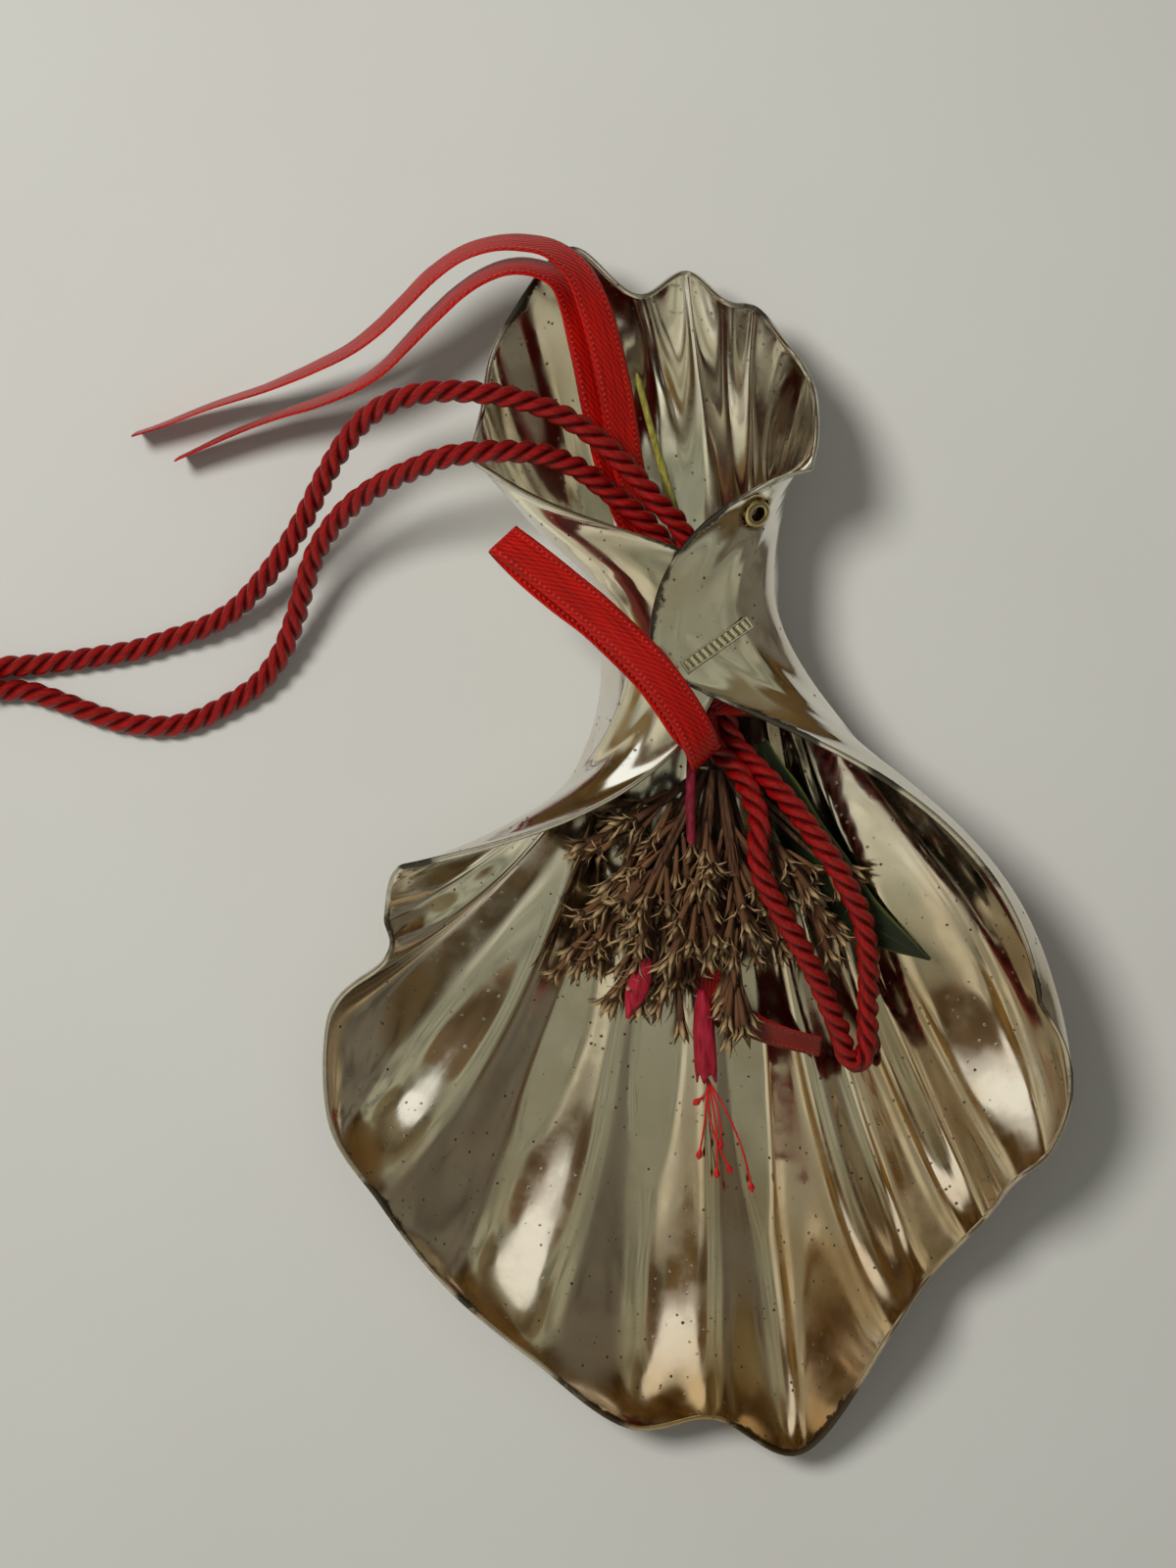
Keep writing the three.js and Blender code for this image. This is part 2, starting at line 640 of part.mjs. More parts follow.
// A plain round solid along a cord's route
function cordAlong(points, diameter = CORD_DIAMETER, stepsPerDiameter = CORD_STEP) {
  const curve = route(points);
  const section = new THREE.Shape();
  for (let side = 0; side < CORD_SIDES; side += 1) {
    const angle = (side / CORD_SIDES) * 2 * Math.PI;
    const x = (diameter / 2) * Math.cos(angle);
    const y = (diameter / 2) * Math.sin(angle);
    if (side === 0) {
      section.moveTo(x, y);
    } else {
      section.lineTo(x, y);
    }
  }
  const steps = Math.max(4, Math.round(curve.getLength() / (stepsPerDiameter * diameter)));
  return new THREE.ExtrudeGeometry(section, { steps, extrudePath: curve, bevelEnabled: false });
}

// A flat ribbon along a route, with the way that its width points at each of the route's points
function ribbonAlong(points, widthWays, steps) {
  const curve = route(points);
  const upper = [[], []];
  const lower = [[], []];
  for (let k = 0; k <= steps; k += 1) {
    const t = k / steps;
    const middle = curve.getPoint(t);
    const forward = curve.getTangent(t);
    const place = t * (widthWays.length - 1);
    const before = Math.min(Math.floor(place), widthWays.length - 2);
    const way = new THREE.Vector3(...widthWays[before])
      .lerp(new THREE.Vector3(...widthWays[before + 1]), place - before);
    way.addScaledVector(forward, -way.dot(forward)).normalize();
    const up = new THREE.Vector3().crossVectors(way, forward).normalize();
    for (const [row, sign] of [[0, -1], [1, 1]]) {
      const edge = middle.clone().addScaledVector(way, (sign * RIBBON_WIDTH) / 2);
      upper[row].push(edge.clone().addScaledVector(up, RIBBON_THICK / 2));
      lower[row].push(edge.clone().addScaledVector(up, -RIBBON_THICK / 2));
    }
  }
  return wallBetween(upper, lower);
}

// A slim body of turning, given as [share of the length, radius], laid from one point to another
function spindle(from, to, profile, sides) {
  const start = new THREE.Vector3(...from);
  const way = new THREE.Vector3(...to).sub(start);
  const length = way.length();
  const outline = [new THREE.Vector2(0, 0)];
  for (const [share, radius] of profile) {
    outline.push(new THREE.Vector2(radius, share * length));
  }
  outline.push(new THREE.Vector2(0, length));
  const geometry = new THREE.LatheGeometry(outline, sides);
  const turn = new THREE.Quaternion().setFromUnitVectors(new THREE.Vector3(0, 1, 0), way.normalize());
  geometry.applyQuaternion(turn);
  geometry.translate(start.x, start.y, start.z);
  return geometry;
}

// A pointed leaf blade along a route, with the way across it
function leafAlong(points, widthWays, halfWidths, thick, steps) {
  const curve = route(points);
  const tops = [[], [], []];
  const bottoms = [[], [], []];
  for (let k = 0; k <= steps; k += 1) {
    const t = k / steps;
    const middle = curve.getPoint(t);
    const forward = curve.getTangent(t);
    const place = t * (widthWays.length - 1);
    const before = Math.min(Math.floor(place), widthWays.length - 2);
    const way = new THREE.Vector3(...widthWays[before])
      .lerp(new THREE.Vector3(...widthWays[before + 1]), place - before);
    way.addScaledVector(forward, -way.dot(forward)).normalize();
    const up = new THREE.Vector3().crossVectors(way, forward).normalize();
    const half = halfWidths[before] + (halfWidths[before + 1] - halfWidths[before]) * (place - before);
    for (const [row, side] of [[0, -1], [1, 0], [2, 1]]) {
      const edge = middle.clone().addScaledVector(way, side * half);
      edge.addScaledVector(up, -0.12 * half * (1 - Math.abs(side)));
      tops[row].push(edge.clone().addScaledVector(up, thick / 2));
      bottoms[row].push(edge.clone().addScaledVector(up, -thick / 2));
    }
  }
  return wallBetween(tops, bottoms);
}

// The wrap that binds the stems and the doubled cord inside the mouth
function ribbonTie() {
  const outer = new THREE.Shape();
  const boreAcross = TIE_BORE_ACROSS / 2;
  const boreHigh = TIE_BORE_HIGH / 2;
  outer.absellipse(0, 0, boreAcross + TIE_THICK, boreHigh + TIE_THICK, 0, 2 * Math.PI);
  const bore = new THREE.Path();
  bore.absellipse(0, 0, boreAcross, boreHigh, 0, 2 * Math.PI);
  outer.holes.push(bore);
  const depth = TIE_BACK_Y - TIE_FRONT_Y;
  const geometry = new THREE.ExtrudeGeometry(outer, {
    depth,
    bevelEnabled: false,
    steps: 1,
    curveSegments: 12,
  });
  geometry.rotateX(Math.PI / 2);
  geometry.translate(TIE_MIDDLE[0], TIE_BACK_Y, TIE_MIDDLE[1]);
  return geometry;
}

// The knot that ties the cord's two ends, with their cut ends brushed out behind it
function cordKnot() {
  const radius = KNOT_DIAMETER / 2;
  const upperEnd = UPPER_STRAND_ROUTE.at(-1);
  const lowerEnd = LOWER_STRAND_ROUTE.at(-1);
  const x = Math.min(upperEnd[0], lowerEnd[0]) - SEAT_GAP;
  const y = (upperEnd[1] + lowerEnd[1]) / 2;
  const from = [x, y, radius + SEAT_GAP / 2];
  const to = [x - KNOT_AND_ENDS_LENGTH, y, KNOT_ENDS_Z];
  const profile = [
    [0.02, 0.6 * radius],
    [0.10, 0.92 * radius],
    [0.22, radius],
    [0.36, 0.9 * radius],
    [0.46, 0.55 * radius],
    [0.60, 0.5 * radius],
    [0.98, 0.7 * radius],
  ];
  return spindle(from, to, profile, 12);
}

// A head of dried florets on its stem
function sprig(neck, tip, headRadius, bareShare) {
  const headShare = 1 - bareShare;
  const profile = [
    [0, SPRIG_NECK_RADIUS],
    [bareShare, SPRIG_NECK_RADIUS],
    [bareShare + 0.30 * headShare, 0.7 * headRadius],
    [bareShare + 0.65 * headShare, headRadius],
    [bareShare + 0.90 * headShare, 0.75 * headRadius],
  ];
  return spindle(neck, tip, profile, 7);
}

// The flower's filaments with their anthers, joined where they leave it
function stamens() {
  let tuft = null;
  for (const tip of STAMEN_TIPS) {
    const length = new THREE.Vector3(...tip).distanceTo(new THREE.Vector3(...STAMEN_ROOT));
    const headShare = 1 - (2.6 * STAMEN_HEAD_RADIUS) / length;
    const profile = [
      [0, 2 * STAMEN_RADIUS],
      [0.12, STAMEN_RADIUS],
      [headShare, STAMEN_RADIUS],
      [(headShare + 1) / 2, STAMEN_HEAD_RADIUS],
    ];
    const filament = toSolid(spindle(STAMEN_ROOT, tip, profile, 5));
    tuft = tuft ? tuft.add(filament) : filament;
  }
  return toGeometry(tuft);
}

addPiece('silver_shell', silverShell(), 'silver');
addPiece('eyelet', eyelet(), 'brass');
addPiece('hallmark_bar', hallmarkBar(), 'silver');

addPiece('cord_upper_strand', cordAlong(UPPER_STRAND_ROUTE), 'cord');
addPiece('cord_lower_strand', cordAlong(LOWER_STRAND_ROUTE), 'cord');
addPiece('cord_bight', cordAlong(BIGHT_ROUTE), 'cord');
addPiece('cord_knot', cordKnot(), 'cord');

addPiece('ribbon_tie', ribbonTie(), 'ribbon');
addPiece('ribbon_long_tail', ribbonAlong(LONG_TAIL_ROUTE, TAIL_WIDTH_WAYS, LONG_TAIL_STEPS), 'ribbon');
addPiece('ribbon_short_tail', ribbonAlong(SHORT_TAIL_ROUTE, TAIL_WIDTH_WAYS, SHORT_TAIL_STEPS), 'ribbon');
addPiece(
  'ribbon_front_loop',
  ribbonAlong(FRONT_LOOP_ROUTE, FRONT_LOOP_WIDTH_WAYS, FRONT_LOOP_STEPS),
  'ribbon',
);
addPiece('ribbon_low_end', ribbonAlong(LOW_END_ROUTE, LOW_END_WIDTH_WAYS, LOW_END_STEPS), 'ribbon');

const bundleRadius = STEM_BUNDLE_DIAMETER / 2;
addPiece(
  'stem_bundle',
  spindle(BUNDLE_FRONT, BUNDLE_BACK, [[0, bundleRadius], [1, bundleRadius]], 12),
  'driedStem',
);
SPRIGS.forEach(([neck, tip, headRadius, bareShare], index) => {
  addPiece(`dried_sprig_${index + 1}`, sprig(neck, tip, headRadius, bareShare), 'driedFlower');
});
const leafWays = LARGE_LEAF_ROUTE.map(() => LEAF_WIDTH_WAY);
addPiece(
  'large_leaf',
  leafAlong(LARGE_LEAF_ROUTE, leafWays, LARGE_LEAF_HALF_WIDTHS, LEAF_THICK, 12),
  'leaf',
);
const petalWays = RED_PETAL_ROUTE.map(() => PETAL_WIDTH_WAY);
addPiece(
  'red_petal',
  leafAlong(RED_PETAL_ROUTE, petalWays, RED_PETAL_HALF_WIDTHS, LEAF_THICK, 6),
  'redFlower',
);
const flowerProfile = [
  [0.04, 0.5 * RED_FLOWER_RADIUS],
  [0.30, 0.9 * RED_FLOWER_RADIUS],
  [0.85, RED_FLOWER_RADIUS],
  [0.98, 0.8 * RED_FLOWER_RADIUS],
];
addPiece('red_flower', spindle(RED_FLOWER_FROM, RED_FLOWER_TO, flowerProfile, 9), 'redFlower');
addPiece('stamens', stamens(), 'redFlower');
const stemProfile = (radius) => [[0, radius], [1, 0.85 * radius]];
addPiece(
  'pink_stem',
  spindle(PINK_STEM_FROM, PINK_STEM_TO, stemProfile(PINK_STEM_RADIUS), 8),
  'redFlower',
);
addPiece(
  'green_stem',
  spindle(GREEN_STEM_FROM, GREEN_STEM_TO, stemProfile(GREEN_STEM_RADIUS), 8),
  'greenStem',
);

export default charm;
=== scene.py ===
"""Visual model of a good luck charm that lies on a pale table.

One sheet of silvered metal is pressed into flutes and rolled at its waist into a small cup and a wide
bowl. A doubled red cord, a red satin ribbon and a bunch of dried flowers pass through the waist.
Lengths in the tables below are millimetres in the sheet's own frame, and `to_metres` moves them to the
part's frame: +X right, +Y towards the small cup, +Z up from the table.
"""

import logging
import math
import random
from collections.abc import Callable, Sequence
from dataclasses import dataclass
from enum import Enum
from functools import partial

import bmesh
import bpy
import numpy as np
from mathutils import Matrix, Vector, noise
from mathutils.bvhtree import BVHTree


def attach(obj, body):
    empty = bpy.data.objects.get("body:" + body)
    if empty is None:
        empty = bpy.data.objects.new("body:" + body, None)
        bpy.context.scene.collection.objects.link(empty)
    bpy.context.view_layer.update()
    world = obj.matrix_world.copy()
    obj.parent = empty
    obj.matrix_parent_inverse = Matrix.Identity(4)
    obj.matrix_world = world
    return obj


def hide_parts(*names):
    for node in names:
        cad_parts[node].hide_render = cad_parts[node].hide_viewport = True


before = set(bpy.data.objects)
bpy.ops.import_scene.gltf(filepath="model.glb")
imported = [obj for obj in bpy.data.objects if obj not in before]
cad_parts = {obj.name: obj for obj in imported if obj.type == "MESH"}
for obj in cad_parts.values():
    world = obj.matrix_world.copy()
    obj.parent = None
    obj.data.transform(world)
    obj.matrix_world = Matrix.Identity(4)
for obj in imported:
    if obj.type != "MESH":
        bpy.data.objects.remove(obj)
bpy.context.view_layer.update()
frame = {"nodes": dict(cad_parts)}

log = logging.getLogger("charm")

Array = np.ndarray
Look = bpy.types.Material
Piece = bpy.types.Object
Socket = bpy.types.NodeSocket
Tree = bpy.types.NodeTree
Spot = tuple[float, float, float]

MM = 0.001
CENTRE_SHIFT = np.array([0.9, 0.9, 0.0])
BODY = "root"
PLIES = 3
GOLDEN_ANGLE = 2.39996
UPWARD = np.array([0.0, 0.0, 1.0])


def to_metres(points: Array) -> Array:
    """Millimetres in the sheet's own frame to metres in the part's frame."""
    return (np.asarray(points, float) + CENTRE_SHIFT) * MM


# ---------------------------------------------------------------- the sheet's and the routes' numbers

WAIST_SECTION = [
    (0.0, 5.0, 23.4), (0.08, -4.0, 24.3), (0.17, -11.0, 20.9), (0.26, -14.6, 13.0), (0.36, -11.0, 6.0),
    (0.48, -1.0, 3.5), (0.6, 8.5, 6.0), (0.69, 11.9, 12.5), (0.76, 12.0, 19.4), (0.81, 10.2, 23.7),
    (0.86, 6.0, 26.2), (0.93, -0.8, 27.1), (1.0, -7.6, 26.9)
]
# Share across, reach along the waist, belly point, rim point
BOWL_RIBS = [
    (0.0, 22, -13.0, 3.0, 24.0, -46.6, -3.0, 21.0), (0.08, 17, -19.5, 7.0, 15.0, -47.9, -5.3, 20.0),
    (0.16, 16, -32.5, -2.0, 3.0, -48.8, -11.2, 17.0), (0.22, 18, -28.0, -9.5, 6.0, -49.0, -17.9, 19.0),
    (0.26, 20, -42.0, -20.0, -1.0, -57.8, -27.0, 15.0),
    (0.29, 22, -45.0, -34.0, -3.0, -57.9, -42.5, 14.0), (0.33, 26, -27.0, -32.0, 4.0, -49.8, -55.7, 16.0),
    (0.375, 28, -31.0, -60.0, -6.0, -39.4, -69.8, 11.0), (0.42, 30, -13.0, -50.0, 1.5, -25.7, -80.8, 14.0),
    (0.46, 30, -8.4, -80.3, -5.0, -10.9, -91.4, 13.0), (0.5, 30, 4.2, -54.4, 2.0, 2.6, -90.2, 13.0),
    (0.545, 30, 14.1, -82.3, -5.0, 17.0, -95.9, 11.0), (0.59, 30, 16.0, -42.1, 4.0, 30.2, -75.3, 20.0),
    (0.625, 28, 29.0, -54.1, -3.0, 36.4, -67.3, 16.0), (0.655, 26, 29.9, -38.8, 2.0, 41.7, -60.8, 20.0),
    (0.68, 26, 34.5, -36.0, 0.0, 45.0, -57.3, 20.0), (0.71, 26, 34.0, -20.3, 6.0, 47.3, -52.8, 25.0),
    (0.79, 16, 52.0, -8.0, 4.0, 53.6, -47.0, 26.0), (0.87, 12, 53.0, 5.0, 18.0, 56.6, -38.0, 28.0),
    (0.94, 10, 52.0, 13.5, 27.0, 55.0, -30.0, 30.0), (1.0, 10, 46.0, 17.0, 34.0, 51.1, -23.4, 32.0)
]
CUP_RIBS = [
    (0.0, 12, -16.0, 46.0, 26.0, -35.1, 59.7, 24.0), (0.07, 10, -26.0, 44.0, 21.0, -35.0, 62.5, 23.0),
    (0.14, 10, -29.0, 47.0, 14.0, -33.5, 68.4, 22.0), (0.2, 12, -26.0, 56.0, 7.0, -32.3, 76.7, 19.0),
    (0.27, 14, -19.0, 64.0, 2.0, -28.0, 85.0, 19.0), (0.36, 14, -13.0, 70.0, -4.0, -20.2, 94.2, 16.0),
    (0.47, 14, -2.0, 68.0, -1.8, -8.6, 86.4, 18.0), (0.53, 14, 1.5, 69.0, -2.8, -1.4, 90.9, 13.0),
    (0.58, 14, 5.0, 68.5, -0.2, 4.2, 85.5, 18.0), (0.63, 14, 8.0, 68.5, 1.0, 9.6, 84.4, 16.0),
    (0.67, 12, 9.2, 66.0, 3.8, 13.4, 78.6, 21.0), (0.77, 10, 15.0, 60.0, 5.0, 17.3, 72.5, 22.0),
    (0.88, 9, 17.0, 57.0, 19.0, 17.9, 66.0, 26.0), (0.95, 12, 13.5, 55.0, 25.0, 17.7, 61.2, 27.6),
    (1.0, 17, 6.0, 55.0, 29.0, 17.0, 57.8, 28.0)
]

UPPER_STRAND_ROUTE = [
    (1.8, 34.4, 13.0), (0.0, 42.0, 13.9), (-2.7, 49.9, 15.4), (-6.7, 54.1, 17.5), (-11.0, 58.8, 19.0),
    (-17.1, 64.3, 21.0), (-23.1, 67.4, 23.0), (-29.1, 69.1, 24.5), (-35.1, 69.8, 25.3), (-41.1, 69.8, 25.0),
    (-46.4, 68.8, 23.5), (-51.1, 66.5, 21.0), (-55.1, 62.4, 18.0), (-58.5, 57.3, 15.0), (-61.4, 52.2, 12.5),
    (-64.3, 47.8, 10.0), (-68.5, 42.5, 7.5), (-73.4, 37.7, 5.0), (-78.3, 35.0, 3.5), (-83.1, 33.4, 2.6),
    (-89.5, 31.4, 2.0), (-95.9, 30.3, 1.9), (-102.2, 29.4, 1.9), (-106.9, 28.9, 1.9), (-112.4, 28.6, 2.2)
]
LOWER_STRAND_ROUTE = [
    (-2.2, 34.4, 12.8), (-3.9, 41.0, 12.8), (-5.5, 47.8, 13.2), (-9.5, 52.1, 15.4), (-14.1, 55.5, 17.6),
    (-18.6, 58.6, 20.5), (-23.9, 60.4, 23.4), (-29.1, 60.7, 25.4), (-34.7, 60.4, 26.2), (-39.6, 59.6, 25.5),
    (-44.2, 58.0, 23.5), (-48.9, 56.2, 20.5), (-53.4, 53.6, 17.5), (-57.0, 50.3, 14.5), (-60.0, 46.1, 11.5),
    (-62.1, 40.9, 8.8), (-63.9, 35.6, 6.4), (-66.4, 30.2, 4.4), (-70.2, 25.6, 3.0), (-75.3, 22.4, 2.2),
    (-80.1, 20.1, 1.9), (-84.8, 19.1, 1.9), (-91.1, 19.6, 1.9), (-95.9, 20.9, 1.9), (-102.2, 23.2, 1.9),
    (-107.7, 24.8, 1.9), (-112.4, 24.7, 2.2)
]
BIGHT_ROUTE = [
    (-2.2, 33.7, 12.8), (-0.9, 27.0, 13.0), (0.8, 20.5, 13.2), (1.9, 17.0, 13.6), (4.0, 14.1, 14.6),
    (6.6, 11.4, 15.9), (8.3, 7.9, 17.5), (9.5, 3.9, 18.5), (9.2, -0.5, 19.0), (9.9, -4.3, 19.0),
    (12.3, -9.2, 18.3), (15.2, -14.1, 17.0), (17.8, -18.6, 15.4), (20.4, -24.1, 13.2), (22.6, -29.1, 10.9),
    (23.7, -32.6, 9.4), (25.3, -34.4, 8.8), (26.9, -32.6, 9.1), (27.1, -28.9, 10.0), (27.0, -24.9, 11.2),
    (27.0, -21.1, 12.8), (26.7, -16.3, 14.8), (25.7, -11.3, 16.6), (23.6, -6.8, 17.8), (21.1, -2.4, 18.2),
    (18.1, 1.9, 18.0), (14.8, 6.3, 17.2), (11.3, 10.3, 16.0), (8.0, 13.8, 14.3), (5.5, 17.0, 13.2),
    (4.5, 20.5, 13.0), (3.2, 27.0, 13.0), (1.8, 33.7, 13.0)
]
LONG_TAIL_ROUTE = [
    (-4.2, 19.0, 10.6), (-5.2, 29.0, 10.0), (-5.9, 39.0, 9.0), (-6.7, 46.8, 8.8), (-8.7, 52.8, 11.2),
    (-10.5, 58.8, 12.8), (-11.8, 64.8, 14.4), (-12.8, 70.9, 16.2), (-14.5, 78.3, 17.8), (-16.3, 84.3, 18.8),
    (-18.9, 89.5, 19.5), (-22.9, 92.6, 20.0), (-27.7, 93.5, 20.5), (-32.2, 93.2, 20.5), (-36.8, 91.7, 20.0),
    (-41.4, 88.7, 19.0), (-45.7, 84.8, 17.5), (-50.0, 81.0, 15.5), (-54.7, 77.9, 13.5), (-60.3, 75.5, 11.3),
    (-66.7, 73.1, 9.0), (-73.2, 71.2, 7.0), (-79.6, 69.3, 5.3), (-84.5, 67.5, 4.2), (-89.6, 65.9, 3.4)
]
SHORT_TAIL_ROUTE = [
    (-5.2, 19.0, 10.6), (-6.4, 29.0, 9.4), (-7.3, 39.0, 7.8), (-8.3, 46.0, 7.2), (-10.4, 51.4, 9.0),
    (-12.6, 57.4, 11.0), (-14.2, 63.5, 12.6), (-15.8, 70.3, 14.2), (-17.4, 77.8, 15.8), (-19.0, 83.7, 17.2),
    (-21.4, 88.0, 18.5), (-25.2, 89.8, 18.9), (-29.2, 90.0, 19.1), (-33.0, 88.8, 18.6), (-37.2, 86.2, 17.9),
    (-41.5, 82.5, 16.6), (-45.4, 78.7, 15.1), (-49.3, 75.1, 13.5), (-54.1, 72.3, 11.8), (-59.7, 70.2, 10.0),
    (-65.3, 68.6, 8.2), (-70.9, 66.8, 6.5), (-76.6, 64.6, 5.0), (-82.6, 62.0, 3.4)
]
TAIL_WIDTH_WAYS = [
    (0.1, 0.0, -1.0), (0.5, 0.15, -0.8), (0.88, 0.25, -0.4), (0.8, 0.3, -0.5), (0.05, 0.6, -0.8),
    (-0.3, 0.4, -0.85), (-0.2, 0.4, -0.9), (-0.12, 0.3, -0.95), (-0.08, 0.2, -0.98)
]
FRONT_LOOP_ROUTE = [
    (-0.2, 21.2, 17.6), (0.2, 17.6, 18.4), (1.0, 14.7, 20.6), (1.1, 13.8, 23.2), (0.2, 15.9, 25.6),
    (-1.3, 18.9, 27.5), (-3.9, 22.9, 29.2), (-7.0, 27.0, 30.2), (-11.2, 31.3, 30.9), (-15.9, 35.7, 31.5),
    (-20.8, 39.7, 32.0), (-25.2, 43.2, 32.3), (-28.4, 45.6, 32.3), (-29.9, 46.7, 31.0), (-28.9, 45.5, 29.8),
    (-25.4, 42.0, 29.6), (-21.0, 38.3, 29.4), (-15.9, 34.4, 29.1), (-11.6, 30.4, 28.6), (-7.5, 26.2, 27.9),
    (-4.6, 22.3, 26.9), (-2.0, 18.6, 25.6), (-0.2, 16.9, 24.0)
]
FRONT_LOOP_WIDTH_WAYS = [
    (0.7, 0.66, -0.1), (0.68, 0.66, -0.3), (0.68, 0.66, -0.32), (0.68, 0.66, -0.32), (0.68, 0.66, -0.3)
]
LOW_END_ROUTE = [
    (1.6, -6.6, 3.6), (1.2, -14.0, 3.6), (1.6, -20.0, 3.8), (4.6, -25.6, 4.9), (9.2, -28.6, 6.2),
    (14.1, -30.3, 8.8), (19.7, -31.7, 9.9)
]
LOW_END_WIDTH_WAYS = [
    (1.0, 0.0, 0.0), (0.95, 0.1, 0.1), (0.55, 0.6, 0.55), (0.25, 0.5, 0.8), (0.2, 0.52, 0.82)
]
SPRIGS = [
    ((0.8, 12.0, 6.8), (-22.4, -23.2, 7.2), 2.8, 0.5), ((1.7, 12.0, 5.7), (-12.7, -28.8, 7.4), 2.8, 0.5),
    ((2.8, 12.0, 5.3), (-5.2, -31.5, 6.2), 2.8, 0.52), ((3.3, 12.0, 7.2), (7.4, -34.3, 10.8), 2.2, 0.55),
    ((4.4, 12.0, 6.0), (12.6, -21.0, 8.6), 2.2, 0.5), ((5.1, 12.0, 7.0), (23.0, -17.8, 10.8), 1.7, 0.62),
    ((5.3, 12.0, 8.3), (27.6, -9.4, 14.4), 1.2, 0.8), ((0.7, 12.0, 8.4), (-16.4, -2.6, 11.6), 2.8, 0.45),
    ((1.5, 12.0, 9.6), (-11.5, -15.0, 13.6), 3.2, 0.42),
    ((2.6, 12.0, 10.2), (-1.6, -19.0, 14.6), 3.2, 0.45), ((3.8, 12.0, 9.8), (7.6, -20.0, 14.4), 2.8, 0.45),
    ((4.6, 12.0, 9.2), (18.2, -7.4, 13.4), 2.0, 0.6)
]


# ---------------------------------------------------------------- small tools


class FarEnd(Enum):
    """What a free cord or ribbon ends in."""

    KNOT = "knot"
    OBJECT = "object"
    BARE = "bare"


def linear(colour: str) -> tuple[float, float, float, float]:
    """Turn an sRGB hex colour into the linear one that shaders use.

    Args:
        colour: Six hex digits after a hash sign.

    Returns:
        Red, green, blue and an alpha of 1, all linear.
    """
    parts = [int(colour[i : i + 2], 16) / 255 for i in (1, 3, 5)]
    bent = [c / 12.92 if c <= 0.04045 else ((c + 0.055) / 1.055) ** 2.4 for c in parts]
    return (bent[0], bent[1], bent[2], 1.0)


@dataclass(frozen=True)
class Kind:
    """A kind of node: its type, the inputs that a row of values fills, its main output, its settings."""

    type: str
    inputs: tuple[int | str, ...] = (0, 1, 2, 3, 4)
    output: int | str = 0
    settings: tuple[tuple[str, str], ...] = ()


PLUS, MINUS, TIMES, OVER, TIMES_PLUS, SINE, COSINE, ABSOLUTE, MAXIMUM, POWER = (
    Kind("ShaderNodeMath", settings=(("operation", name),))
    for name in (
        "ADD", "SUBTRACT", "MULTIPLY", "DIVIDE", "MULTIPLY_ADD", "SINE", "COSINE", "ABSOLUTE", "MAXIMUM",
        "POWER",
    )
)
RANGE = Kind("ShaderNodeMapRange")
EASE = Kind("ShaderNodeMapRange", settings=(("interpolation_type", "SMOOTHSTEP"),))
MIX = Kind("ShaderNodeMix", (0, 6, 7), 2, (("data_type", "RGBA"),))
BLEND = Kind("ShaderNodeMix", (0, 2, 3))
NOISE = Kind("ShaderNodeTexNoise", ("Vector", "Scale", "Detail", "Roughness", "Distortion"))
BUMP = Kind("ShaderNodeBump", ("Height", "Strength", "Distance"))
STRETCH = Kind("ShaderNodeMapping", ("Vector", "Scale"))
PLACE = Kind("ShaderNodeTexCoord", output="Object")
FLOW = Kind("ShaderNodeUVMap", settings=(("uv_map", "UVMap"),))
FIELD = Kind("ShaderNodeAttribute", output="Fac")
VECTOR = Kind("ShaderNodeVectorMath")
DOT = Kind("ShaderNodeVectorMath", output="Value", settings=(("operation", "DOT_PRODUCT"),))
SCALE = Kind("ShaderNodeVectorMath", (0, "Scale"), settings=(("operation", "SCALE"),))
SPLIT = Kind("ShaderNodeSeparateXYZ")
GLOW = Kind("ShaderNodeBackground", ("Color", "Strength"))
CHOOSE = Kind("ShaderNodeMixShader")
STORE = Kind("GeometryNodeStoreNamedAttribute", ("Geometry", "Name", "Value"))
READ = Kind("GeometryNodeInputNamedAttribute")
RANDOM = Kind("FunctionNodeRandomValue", (2, 3, "Seed"), 1)


def add_node(tree: Tree, kind: Kind | str, *values: object, **settings: object) -> Socket | None:
    """Add one node with its settings, values and links.

    Args:
        tree: The shader or geometry tree.
        kind: The node's kind, or only Blender's name of its type.
        *values: Values or other nodes' outputs for the kind's inputs in order, or one dict of them by name.
            A colour may be written in hex.
        **settings: The node's own properties.

    Returns:
        The node's main output, or None where it has none.
    """
    if isinstance(kind, str):
        kind = Kind(kind)
    node = tree.nodes.new(kind.type)
    for name, value in (*kind.settings, *settings.items()):
        setattr(node, name, value)
    named = bool(values) and isinstance(values[0], dict)
    for key, value in values[0].items() if named else zip(kind.inputs, values):
        if isinstance(value, str) and value.startswith("#"):
            value = linear(value)
        if isinstance(value, Socket):
            tree.links.new(value, node.inputs[key])
        else:
            node.inputs[key].default_value = value
    return node.outputs[kind.output] if node.outputs else None


